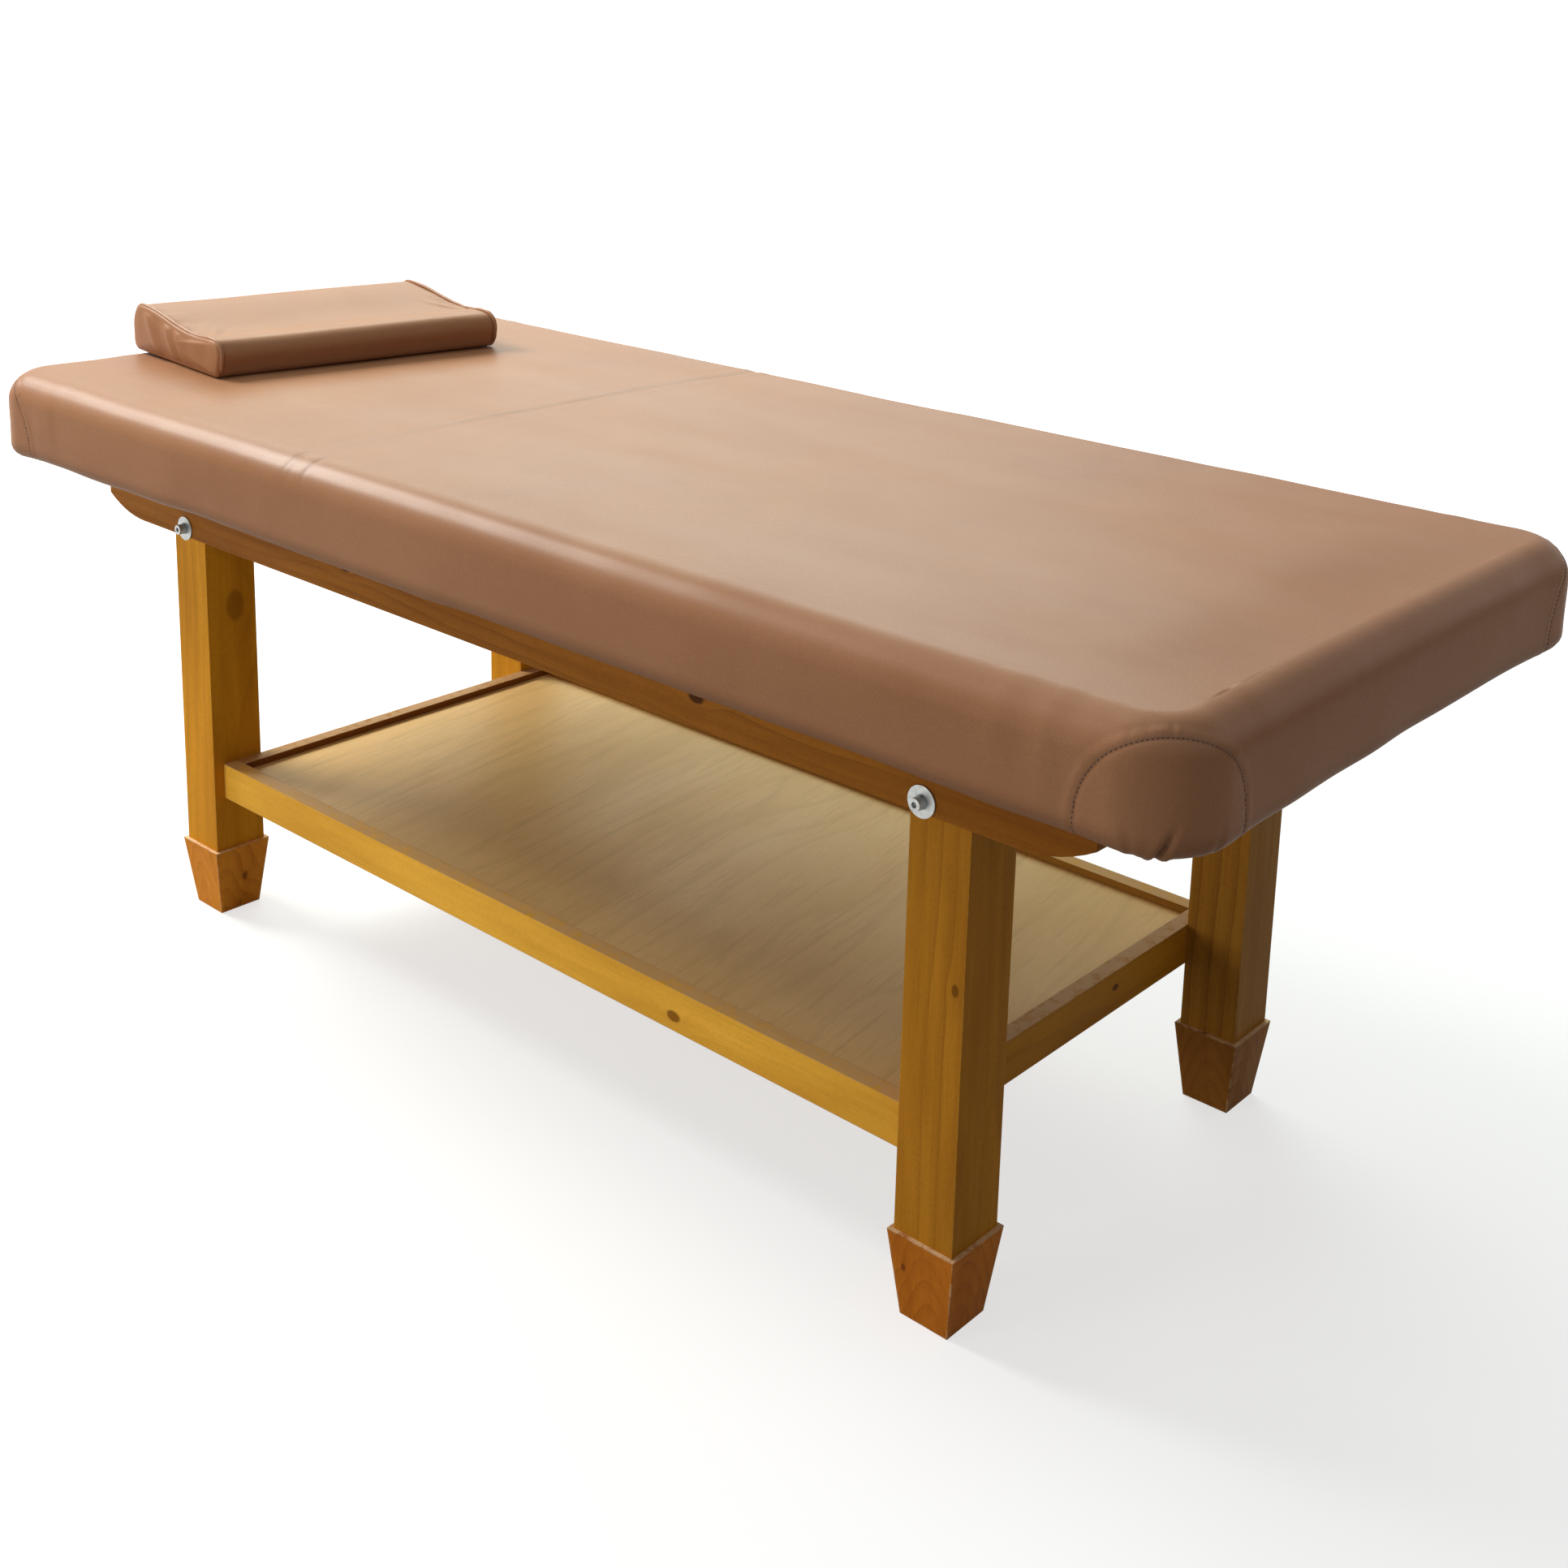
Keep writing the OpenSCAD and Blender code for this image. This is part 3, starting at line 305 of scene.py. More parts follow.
def wood_material(name, tones, along, seed, pitch=0.013, knots=(), worn=0.25, contrast=0.8,
                  rough=0.44, worn_colour=None, raw_top=0.0, inner=None, heart=None, taper=0.0):
    """Stained pine: growth rings around a pith, fibres along the piece, and knots with their
    place, radius and strength. The edges show worn_colour by worn, and faces turned up by
    raw_top. Faces towards inner are darkened with painted shade. heart is a pith inside the piece, and
    with taper its rings narrow upwards, which gives a flame figure."""
    s = Shader(name)
    light, dark = tones
    parts = s.split(s.place)
    axis = "xyz".index(along)
    run, across, up = (parts[(axis + i) % 3] for i in range(3))
    rand = [float(lattice(np.int64(seed), np.int64(i), np.int64(5), 17)) for i in range(8)]
    shift = (rand[0] * 10, rand[1] * 10, rand[2] * 10)

    def stretched(long, wide):
        scale = [wide] * 3
        scale[axis] = long
        return s.stretch(tuple(scale), shift)

    sway = s.math("SUBTRACT", s.noise(stretched(1.3, 4.0), detail=2), 0.5)
    lean = s.math("SUBTRACT", s.noise(stretched(3.4, 11.0), detail=2), 0.5)
    pull = None
    knot_mask = None
    for at, radius, *strength in knots:
        squeeze = [1.0] * 3
        squeeze[axis] = 0.62
        gap = s.vector("MULTIPLY", s.vector("SUBTRACT", s.place, at), tuple(squeeze))
        ratio = s.math("DIVIDE", s.vector("LENGTH", gap), radius)
        bulge = s.math("EXPONENT", s.times(s.times(ratio, ratio), -0.16))
        bulge = s.times(bulge, radius * 1.7)
        pull = bulge if pull is None else s.plus(pull, bulge)
        mask = s.times(s.spread(ratio, 1.12, 0.78), strength[0] if strength else 1.0)
        knot_mask = mask if knot_mask is None else s.math("MAXIMUM", knot_mask, mask)
    # The pith of a plain piece lies outside it, on a side of its own
    offset = (math.copysign(1, rand[5]) * (0.055 + 0.05 * rand[3]),
              math.copysign(1, rand[7]) * (0.045 + 0.05 * rand[4]))
    bend = (0.085, 0.030)
    if heart:
        offset = (-heart[0], -heart[1])
        bend = (0.020, 0.012)
    side = s.plus(across, offset[0])
    side = s.plus(side, s.times(run, 0.035 * rand[6]))
    side = s.plus(side, s.times(sway, bend[0]))
    deep = s.plus(up, offset[1])
    deep = s.plus(deep, s.times(lean, bend[1]))
    ring = s.plus(s.times(side, side), s.times(deep, deep))
    ring = s.math("SQRT", ring)
    if taper:
        ring = s.plus(ring, s.times(run, taper))
    if knots:
        ring = s.plus(ring, pull)
    turn = s.math("FRACT", s.math("DIVIDE", ring, pitch))
    late_wood = [(0.0, 0.35), (0.05, 0.0), (0.45, 0.10), (0.85, 0.55), (0.955, 1.0), (1.0, 0.5)]
    late = s.ramp(turn, late_wood)
    vary = s.spread(s.noise(stretched(1.6, 14.0), detail=3), 0.36, 0.68, 0.12, 1.0)
    grain = s.times(s.times(late, vary), contrast)
    fibre = s.noise(stretched(9.0, 520.0), detail=3, rough=0.65)
    streak = s.noise(stretched(2.2, 90.0), detail=3, rough=0.6)
    cloud = s.noise(stretched(3.0, 16.0), detail=3, rough=0.55)
    colour = s.mix(grain, light, dark)
    colour = s.mix(s.spread(cloud, 0.38, 0.68, 0.0, 0.6), colour, shade(light, (0.62, 0.52, 0.40)))
    colour = s.mix(s.spread(streak, 0.48, 0.75, 0.0, 0.28), colour, dark)
    colour = s.mix(s.spread(fibre, 0.50, 0.75, 0.0, 0.26), colour, shade(dark, 0.6))
    mottle = s.noise(s.stretch((1, 1, 1), shift), scale=240, detail=3, rough=0.7)
    colour = s.mix(s.spread(mottle, 0.45, 0.75, 0.0, 0.22), colour, shade(dark, 0.7))
    if knots:
        knot = s.times(knot_mask, s.spread(fibre, 0.2, 0.8, 1.0, 0.72))
        colour = s.mix(knot, colour, shade(dark, (0.28, 0.20, 0.16)))
    normal, edge = s.edges(0.0016, 0.0034)
    chip = s.noise(s.stretch((1, 1, 1), shift), scale=70, detail=4, rough=0.7)
    wear = s.times(edge, s.spread(chip, 0.40, 0.62), clamp=True)
    pale = worn_colour or shade(light, (1.30, 1.45, 1.9))
    colour = s.mix(s.times(wear, worn), colour, pale)
    facing = s.split(s.new("NewGeometry").outputs["Normal"])
    if inner:
        sign, letter = inner
        inwards = s.times(facing["xyz".index(letter)], float(sign + "1"))
        inwards = s.times(s.spread(inwards, 0.6, 0.8), 0.75)
        # Painted shade on the faces towards inner
        colour = s.mix(inwards, colour, INNER_PAINTED_SHADE)
    if raw_top:
        bare = s.spread(chip, 0.30, 0.50)
        bare = s.times(s.spread(facing[2], 0.6, 0.8), bare, clamp=True)
        colour = s.mix(s.times(bare, raw_top), colour, pale)
    height = s.plus(s.times(fibre, 0.6), s.times(late, 0.25))
    normal = s.bump(height, 0.22, 0.0006, normal)
    shine = s.spread(streak, 0.3, 0.7, rough - 0.05, rough + 0.07)
    return s.finish(colour, shine, normal, specular=0.03)


def plywood_material(name, tones, seed, turn):
    """Rotary-cut veneer: long flame-shaped grain, short dashes and a dusty matt surface."""
    s = Shader(name)
    light, dark = tones
    where = s.new("Mapping", s.place, (seed * 1.7, seed * 0.9, 0), (0, 0, turn)).outputs[0]

    def grain(stretch, **settings):
        return s.noise(s.vector("MULTIPLY", where, stretch), **settings)

    sway = grain((1.1, 6.0, 20.0), detail=3, rough=0.5, distortion=0.4)
    flame = s.math("FRACT", s.plus(s.times(s.split(where)[1], 15.0), s.times(sway, 7.0)))
    flame = s.ramp(flame, [(0.0, 0.7), (0.10, 0.0), (0.7, 0.1), (0.93, 1.0), (1.0, 0.75)])
    dash = grain((26.0, 430.0, 430.0), detail=2, rough=0.6)
    pore = grain((70.0, 900.0, 900.0), detail=2, rough=0.5)
    cloud = grain((2.0, 3.4, 3.0), scale=1.6, detail=4, rough=0.6)
    streak = grain((7.0, 150.0, 150.0), detail=3, rough=0.6)
    colour = s.mix(s.times(flame, 0.22), light, dark)
    colour = s.mix(s.spread(streak, 0.56, 0.70, 0.0, 0.40), colour, dark)
    colour = s.mix(s.spread(dash, 0.52, 0.74, 0.0, 0.30), colour, dark)
    colour = s.mix(s.spread(pore, 0.56, 0.78, 0.0, 0.25), colour, shade(dark, 0.7))
    dusty = shade(light, (0.88, 0.84, 0.76))
    colour = s.mix(s.spread(cloud, 0.36, 0.68, 0.0, 0.40), colour, dusty)
    normal, _ = s.edges(0.0008, 0.002)
    normal = s.bump(s.plus(dash, s.times(pore, 0.6)), 0.2, 0.0005, normal)
    return s.finish(colour, s.spread(cloud, 0.3, 0.7, 0.38, 0.50), normal, specular=0.07)


def metal_material(name, colour, rough, seed):
    """Plated steel with fine scratches and a few dull spots."""
    s = Shader(name)
    spot = s.noise(s.stretch((1, 1, 1), (seed, 2, 3)), scale=160, detail=3, rough=0.6)
    scratch = s.noise(s.stretch((900, 900, 60)), detail=2)
    tone = s.mix(s.spread(spot, 0.4, 0.7, 0.0, 0.6), colour, shade(colour, 0.62))
    normal, edge = s.edges(0.0005, 0.001)
    tone = s.mix(s.times(edge, 0.35), tone, shade(colour, 1.25))
    shine = s.spread(spot, 0.3, 0.7, rough - 0.06, rough + 0.1)
    shine = s.plus(shine, s.spread(scratch, 0.3, 0.7, -0.03, 0.05))
    normal = s.bump(scratch, 0.12, 0.0002, normal)
    return s.finish(tone, shine, normal, metallic=0.9)


def thread_material():
    """Dark brown twisted thread."""
    s = Shader("stitch_thread")
    twist = s.noise(s.stretch((1, 1, 1)), scale=900, detail=2)
    tone = s.mix(s.spread(twist, 0.3, 0.7), (0.035, 0.014, 0.008), (0.085, 0.036, 0.020))
    return s.finish(tone, 0.7, s.bump(twist, 0.4, 0.0003))


# The pad: places on its side are u, along the side from the nearest corner's middle, below zero
# on the long sides and above zero on the ends, and v, up from the start of the upright part.

ARC = CORNER_R * math.pi / 4
LONG = HALF_L - CORNER_R + ARC
WIDE = HALF_W - CORNER_R + ARC
STRAIGHT_TOP = EDGE_Z - TOP_R - HEM_Z - BOTTOM_R
HEM_V = -BOTTOM_R * math.pi / 2
FAR_AWAY = 9.0

# Mesh spacing: fine at the corners and the crease, wider elsewhere
FINE, HEAD_STEP, SEAT_STEP = 0.0032, 0.0085, 0.0125
DENSE = 0.125
CREASE_ZONE = (-0.325, -0.175)
HEM_ROWS, BOTTOM_ROWS, SIDE_ROWS, TOP_ROWS = 5, 6, 16, 26


def steps(*stations):
    """Places from the first station to the last, with each stretch's own spacing."""
    places = [stations[0][0]]
    for (a, step), (b, _) in zip(stations, stations[1:]):
        count = max(1, round((b - a) / step))
        places += [a + (b - a) * i / count for i in range(1, count + 1)]
    return np.array(places)


X_LINES = steps((-LONG, FINE), (DENSE - LONG, HEAD_STEP), (CREASE_ZONE[0], FINE),
                (CREASE_ZONE[1], SEAT_STEP), (LONG - DENSE, FINE), (LONG, 0))
Y_LINES = steps((-WIDE, FINE), (DENSE - WIDE, SEAT_STEP), (WIDE - DENSE, FINE), (WIDE, 0))


def side_columns(lines, straight):
    """For each place along a side: how far along its straight part, and its outward direction
    (along, out) where the corner turns."""
    result = []
    for s in lines:
        share = np.clip(s / straight, -1, 1)
        angle = (abs(s) - straight) / CORNER_R if abs(s) > straight else 0.0
        result.append((share, math.copysign(math.sin(angle), s), math.cos(angle)))
    return result


def perimeter():
    """Columns around the pad as (gx, gy, nx, ny, u): a place on the outline and its direction."""
    along_x = list(zip(side_columns(X_LINES, HALF_L - CORNER_R), X_LINES))
    along_y = list(zip(side_columns(Y_LINES, HALF_W - CORNER_R), Y_LINES))
    cols = [(g, -1.0, a, -o, abs(s) - LONG) for (g, a, o), s in along_x[:-1]]
    cols += [(1.0, g, o, a, WIDE - abs(s)) for (g, a, o), s in along_y[:-1]]
    cols += [(g, 1.0, a, o, abs(s) - LONG) for (g, a, o), s in reversed(along_x[1:])]
    cols += [(-1.0, g, -o, a, WIDE - abs(s)) for (g, a, o), s in reversed(along_y[1:])]
    return np.array(cols)


def outline(cols, inset):
    """The columns' places on the pad's outline, drawn in by the inset."""
    smallest_r = 0.010
    almost = 1 - 1e-9
    gx, gy, nx, ny = cols[:, 0], cols[:, 1], cols[:, 2], cols[:, 3]
    r = max(CORNER_R - inset, smallest_r)
    on_end = np.abs(gx) >= almost
    on_side = np.abs(gy) >= almost
    pull = np.where(on_side & ~on_end, SIDE_PULL * np.cos(math.pi / 2 * gx), 0.0)
    pull = np.where(on_end & ~on_side, END_PULL * np.cos(math.pi / 2 * gy), pull)
    x = gx * (HALF_L - inset - r) + nx * (r - pull)
    y = gy * (HALF_W - inset - r) + ny * (r - pull)
    return x, y


def coons(x, y, nx, ny):
    """Fills a loop of places, that starts at the (-, -) corner and runs along +X first, with a
    grid. Also gives each place on the grid's rim its number in the loop."""
    along, up = np.arange(nx + 1), np.arange(ny + 1)
    south, east = along, nx + up
    north, west = 2 * nx + ny - along, -up % (2 * nx + 2 * ny)
    rim = np.zeros((nx + 1, ny + 1), dtype=np.int64)
    rim[:, 0], rim[-1], rim[:, -1], rim[0] = south, east, north, west
    s = (x[south] / x[south[-1]] + 1) / 2
    t = (y[east] / y[north[-1]] + 1) / 2
    s, t = np.meshgrid(s, t, indexing="ij")
    grids = []
    for a in (x, y):
        ruled = (1 - t) * a[south][:, None] + t * a[north][:, None]
        ruled = ruled + (1 - s) * a[west][None, :] + s * a[east][None, :]
        flat = (1 - s) * (1 - t) * a[south[0]] + s * (1 - t) * a[south[-1]]
        flat = flat + (1 - s) * t * a[north[0]] + s * t * a[north[-1]]
        grids.append(ruled - flat)
    return grids[0], grids[1], rim


def seam_distance(u, v):
    """How far a place on the side is outside the corner piece's seam, below zero inside it."""
    tiny = 1e-9
    across = (u - ARCH_MID) / ARCH_HALF
    rise = np.maximum(v, 0) / ARCH_RISE
    reach = np.sqrt(across**2 + rise**2) + tiny
    slope = np.sqrt((across / ARCH_HALF) ** 2 + (rise / ARCH_RISE) ** 2) / reach + tiny
    return (reach - 1) / slope


def round_bottom(a):
    """(inset, height, outward, upward) on the lower edge, at an angle from level to -90."""
    return BOTTOM_R * (1 - math.cos(a)), HEM_Z + BOTTOM_R * (1 + math.sin(a)), math.cos(a), math.sin(a)


def round_top(a):
    """(inset, height, outward, upward) on the upper edge, at an angle from level to 90."""
    return TOP_R * (1 - math.cos(a)), EDGE_Z - TOP_R + TOP_R * math.sin(a), math.cos(a), math.sin(a)


def wall_rows():
    """(inset, height, outward, upward, v) from the hem's inner edge, round the bottom, to the top."""
    rows = []
    for i in range(HEM_ROWS):
        inset = HEM_INSET + (BOTTOM_R - HEM_INSET) * i / HEM_ROWS
        rows.append((inset, HEM_Z, 0.0, -1.0, HEM_V - (inset - BOTTOM_R)))
    for i in range(BOTTOM_ROWS + 1):
        a = math.pi / 2 * (i / BOTTOM_ROWS - 1)
        rows.append((*round_bottom(a), BOTTOM_R * a))
    for i in range(1, SIDE_ROWS):
        v = STRAIGHT_TOP * i / SIDE_ROWS
        rows.append((0.0, HEM_Z + BOTTOM_R + v, 1.0, 0.0, v))
    for i in range(TOP_ROWS + 1):
        a = math.pi / 2 * i / TOP_ROWS
        rows.append((*round_top(a), STRAIGHT_TOP + TOP_R * a))
    return rows


# The cover's relief, in metres. Waves are (height, waves per metre, seed of the noise)
SWELL = ((0.0010, 5, 1), (0.00055, 14, 2))
# The seam of the corner pieces, with the folded edges raised outside it: (place, width, height)
SEAM_RELIEF = ((0.0, 0.0022, -0.0008), (0.0055, 0.0040, 0.0003), (0.0120, 0.0030, -0.0002))
SEAM_DARK_W = 0.0015
# Folds at the bottom of the corner pieces: corner (sign of x, sign of y), place along u, lean, depth
PLEATS = (
    (1, -1, -0.010, 0.40, 0.0062), (1, -1, -0.034, -0.15, 0.0016), (1, -1, 0.040, 0.2, 0.0011),
    (-1, -1, 0.010, -0.3, 0.0055), (-1, -1, 0.046, 0.1, 0.0015),
    (1, 1, -0.006, 0.3, 0.0062), (1, 1, 0.030, -0.1, 0.0016),
    (-1, 1, 0.012, 0.2, 0.0055), (-1, 1, -0.028, -0.2, 0.0015),
)
PLEAT_W = 0.0030
PLEAT_DARK_DEPTH = 0.0055
# Short tucks over the top edge near the crease, with painted shade in them: place along the bed, slant
# and depth
EDGE_TUCKS = ((-0.262, 0.10, 0.0005), (-0.224, 0.10, 0.0006), (-0.075, 0.20, 0.0003))
TUCK_W = 0.0034
TUCK_DARK = 600
CREASE_DEPTH, CREASE_W, CREASE_DARK = 0.0013, 0.0060, 0.08
BOTTOM_DARK = 0.62


def relief(x, y, z, u, v, sx, sy, top):
    """How far the cover stands out along its normal, and its painted shade. sx and sy are
    the nearest corner's signs, and top is 1 on the top and 0 on the sides."""
    out = sum(height * smooth_noise(x * rate, y * rate, z * rate, seed) for height, rate, seed in SWELL)
    side = 1 - top
    from_mid = u - ARCH_MID
    # Slack along the bottom edge of the sides, more at the corners
    low = ease(0.035, -0.02, v) * side
    near_corner = bell(np.minimum(np.abs(from_mid), 0.6), 0.11)
    out += low * (0.0010 + 0.0012 * near_corner) * smooth_noise(x * 13, y * 13, 0.0, 3)
    out += low * near_corner * 0.0009 * smooth_noise(x * 40, y * 40, 0.0, 4)
    out += low * bell(u - 0.002, 0.055) * 0.0032
    # The corner pieces' seam, gathered outside, with the piece a little proud inside
    d = seam_distance(u, v)
    reach = side * ease(0.16, 0.13, np.abs(u))
    for at, width, height in SEAM_RELIEF:
        out += reach * height * bell(d - at, width)
    around = np.arctan2(v, from_mid)
    gathers = smooth_noise(around * 16, sx * 3.0, sy * 5.0, 5)
    gathers = gathers + 0.6 * smooth_noise(around * 37, sx * 2.0, sy * 7.0, 9)
    out += reach * bell(d - 0.0065, 0.0050) * (0.0002 + 0.0003 * ease(0.05, 0.09, v)) * gathers
    out += reach * ease(0.0, -0.03, d) * 0.0003
    # Painted shade along the seam's groove
    dark = reach * bell(d, SEAM_DARK_W) * 0.45
    # Pleats at the bottom of the corner pieces, with a ridge on either side and painted shade in the
    # fold
    for cx, cy, at, lean, depth in PLEATS:
        off = u - at - lean * np.maximum(v + 0.012, -0.01)
        fade = ease(0.020, -0.012, v) * side * ((sx == cx) & (sy == cy))
        out -= fade * depth * bell(off, PLEAT_W) * ease(-0.024, -0.006, v)
        out += fade * depth * 0.35 * (bell(off - 0.0070, 0.0040) + bell(off + 0.0070, 0.0040))
        dark = np.maximum(dark, fade * bell(off, 0.8 * PLEAT_W) * min(1.0, depth / PLEAT_DARK_DEPTH))
    # Upright pull lines on the ends and sides beside the corners
    beside = side * ease(0.0, 0.02, d) * bell(np.abs(from_mid) - 0.13, 0.05) * ease(-0.01, 0.05, v)
    out += beside * 0.0009 * smooth_noise(u * 42 + sx * 7, v * 5, sy * 3.0, 6)
    # The crease where the backrest folds, with painted shade in it, which fades towards the near edge
    d = x - CREASE_X - 0.0022 * smooth_noise(y * 5, 0.3, 0.7, 7)
    shown = np.maximum(top, ease(0.05, 0.085, v)) * (0.30 + 0.70 * ease(-0.36, -0.05, y))
    out += shown * (0.0006 * bell(np.abs(d) - 0.015, 0.011) - CREASE_DEPTH * bell(d, CREASE_W))
    dark = np.maximum(dark, shown * bell(d, 0.0040) * CREASE_DARK)
    over_edge = np.maximum(top * ease(0.360, 0.374, np.abs(y)), side * ease(0.068, 0.088, v))
    for at, slant, depth in EDGE_TUCKS:
        off = x - at - slant * (HALF_W - np.abs(y))
        out -= over_edge * depth * bell(off, TUCK_W)
        # Painted shade in each tuck
        dark = np.maximum(dark, over_edge * bell(off, 0.0022) * depth * TUCK_DARK)
    # Painted shade along the bottom edge of the sides
    dark = np.maximum(dark, side * ease(0.010, -0.014, v) * BOTTOM_DARK)
    # Faint pull lines across the top beside the crease
    out += top * bell(d, 0.12) * 0.00045 * smooth_noise(x * 40, y * 9, 0.0, 8)
    return out, np.clip(dark, 0, 1)


def bulge(v):
    """How far the side stands out between its edges."""
    return SIDE_BULGE * math.sin(math.pi * min(max(v / (STRAIGHT_TOP + 0.03), 0), 1))


def edge_polish(upward):
    """The polish of the side's upper edge: most where it turns, and 1 where it meets the top."""
    return float(ease(0.25, 0.60, upward)) * (1 + 0.7 * math.sin(math.pi * max(upward, 0)))


def build_cover():
    """The whole padded top: the cover's sides, its top, its hem and the hollow for the boards."""
    cols = perimeter()
    nx, ny = len(X_LINES) - 1, len(Y_LINES) - 1
    count = len(cols)
    sx, sy = np.sign(cols[:, 0] + 1e-12), np.sign(cols[:, 1] + 1e-12)
    places, darks, polish, loops, faces = [], [], [], [], []

    def add_loop(x, y, z, dark, shine=0.0):
        loops.append(sum(len(p) for p in places))
        places.append(np.stack([x, y, z], 1))
        darks.append(dark)
        polish.append(np.full(len(x), shine))

    def add_grid(loop, inset, height_of, up):
        gx, gy, rim = coons(*outline(cols, inset), nx, ny)
        gz, dark = height_of(gx, gy)
        inside = np.zeros((nx + 1, ny + 1), dtype=bool)
        inside[1:-1, 1:-1] = True
        number = loop + rim
        number[inside] = sum(len(p) for p in places) + np.arange(inside.sum())
        places.append(np.stack([gx[inside], gy[inside], gz[inside]], 1))
        darks.append(dark[inside])
        polish.append(np.full(int(inside.sum()), 1.0 if up else 0.0))
        quads = np.stack([number[:-1, :-1], number[1:, :-1], number[1:, 1:], number[:-1, 1:]], -1)
        faces.extend((quads if up else quads[..., ::-1]).reshape(-1, 4).tolist())

    def top_height(x, y):
        from_end = HALF_L - TOP_R - np.abs(x)
        from_side = HALF_W - TOP_R - np.abs(y)
        crown = ease(0, 0.13, from_end) * ease(0, 0.20, from_side)
        far = np.full(x.shape, FAR_AWAY)
        rise, dark = relief(x, y, np.full(x.shape, EDGE_Z), far, far, np.sign(x), np.sign(y),
                            np.ones(x.shape))
        return EDGE_Z + CROWN * crown + rise, dark

    def board_height(x, y):
        return np.full(x.shape, BOARD_TOP), np.zeros(x.shape)

    # The inside, over the boards' edge and under the hem, and then the outside
    hem_top = HEM_Z + HEM_T
    for inset, height in ((BOARD_INSET, BOARD_TOP), (BOARD_INSET, hem_top), (HEM_INSET, hem_top)):
        add_loop(*outline(cols, inset), np.full(count, height), np.zeros(count))
    for inset, height, outwards, upward, v in wall_rows():
        x, y = outline(cols, inset)
        z = np.full(count, height)
        rise, dark = relief(x, y, z, cols[:, 4], np.full(count, v), sx, sy, np.zeros(count))
        rise = rise + bulge(v)
        if v < HEM_V - 0.001:
            rise = rise * np.clip(1 + (v - HEM_V) / 0.02, 0, 1)
        x = x + cols[:, 2] * outwards * rise
        y = y + cols[:, 3] * outwards * rise
        z = np.maximum(z + upward * rise, HEM_Z - 0.004)
        add_loop(x, y, z, dark, edge_polish(upward))
    for a, b in zip(loops, loops[1:]):
        faces += band(a, b, count)
    add_grid(loops[-1], TOP_R, top_height, True)
    add_grid(loops[0], BOARD_INSET, board_height, False)
    obj = mesh_piece("padded_top", np.concatenate(places), faces)
    paint(obj, "seam", np.concatenate(darks))
    paint(obj, "polish", np.concatenate(polish))
    return obj


def side_place(u, v, sx, sy, lift):
    """The place and outward direction at u and v beside a corner, on the cover as it is built."""
    straight_x, straight_y = HALF_L - CORNER_R, HALF_W - CORNER_R
    if u < -ARC:
        col = (sx * (straight_x + u + ARC) / straight_x, sy, 0.0, sy, u)
    elif u > ARC:
        col = (sx, sy * (straight_y - u + ARC) / straight_y, sx, 0.0, u)
    else:
        a = math.pi / 4 - u / CORNER_R
        col = (sx, sy, sx * math.cos(a), sy * math.sin(a), u)
    cols = np.array([col], float)
    if v < 0:
        inset, z, outwards, upward = round_bottom(v / BOTTOM_R)
    elif v < STRAIGHT_TOP:
        inset, z, outwards, upward = 0.0, HEM_Z + BOTTOM_R + v, 1.0, 0.0
    else:
        inset, z, outwards, upward = round_top((v - STRAIGHT_TOP) / TOP_R)
    x, y = outline(cols, inset)
    one = np.ones(1)
    rise, _ = relief(x, y, z * one, cols[:, 4], v * one, sx * one, sy * one, 0 * one)
    out = np.array([cols[0, 2] * outwards, cols[0, 3] * outwards, upward])
    return np.array([x[0], y[0], z]) + out * (rise + bulge(v) + lift), out


# Stitches, in metres: their spacing, length and radius, and how high they lie at places along them
STITCH_PITCH, STITCH_L, STITCH_R = 0.0047, 0.0036, 0.0005
STITCH_RISE = ((0, -0.0004), (0.25, 0.0003), (0.75, 0.0003), (1, -0.0004))
STITCH_SIDES = 6
STITCH_TIP = 0.55
SEAM_FOOT_V = -0.018


def thread(points, outs):
    """A stitch through points, as a closed tube with thinner ends."""
    verts = []
    last = len(points) - 1
    for i, p in enumerate(points):
        along = points[min(i + 1, last)] - points[max(i - 1, 0)]
        along /= np.linalg.norm(along)
        up = outs[i] - along * (outs[i] @ along)
        up /= np.linalg.norm(up)
        flat = np.cross(along, up)
        size = STITCH_R * (STITCH_TIP if i in (0, last) else 1.0)
        for k in range(STITCH_SIDES):
            a = 2 * math.pi * k / STITCH_SIDES
            verts.append(p + size * (math.cos(a) * up + math.sin(a) * flat))
    return verts, tube(len(points), STITCH_SIDES)


def walked(line):
    """The length along a line at each of its points."""
    return np.concatenate([[0], np.cumsum(np.linalg.norm(np.diff(line, axis=0), axis=1))])


def corner_stitches(name, sx, sy):
    """The row of stitches that shows in the groove of a corner piece's seam."""
    turns = [math.pi * i / 400 for i in range(401)]
    line = [(ARCH_MID - ARCH_HALF * math.cos(a), ARCH_RISE * math.sin(a)) for a in turns]
    line = np.array([(line[0][0], SEAM_FOOT_V)] + line + [(line[-1][0], SEAM_FOOT_V)])
    length = walked(line)
    verts, faces = [], []
    at = 0.001
    while at + STITCH_L < length[-1]:
        points, outs = [], []
        for share, lift in STITCH_RISE:
            u, v = (np.interp(at + STITCH_L * share, length, line[:, i]) for i in (0, 1))
            point, out = side_place(u, v, sx, sy, lift)
            points.append(point)
            outs.append(out)
        more_verts, more_faces = thread(points, outs)
        faces += [tuple(i + len(verts) for i in face) for face in more_faces]
        verts += more_verts
        at += STITCH_PITCH
    return mesh_piece(name, verts, faces)


# The pillow, drawn around the middle of its underside, with the high ridge towards -X

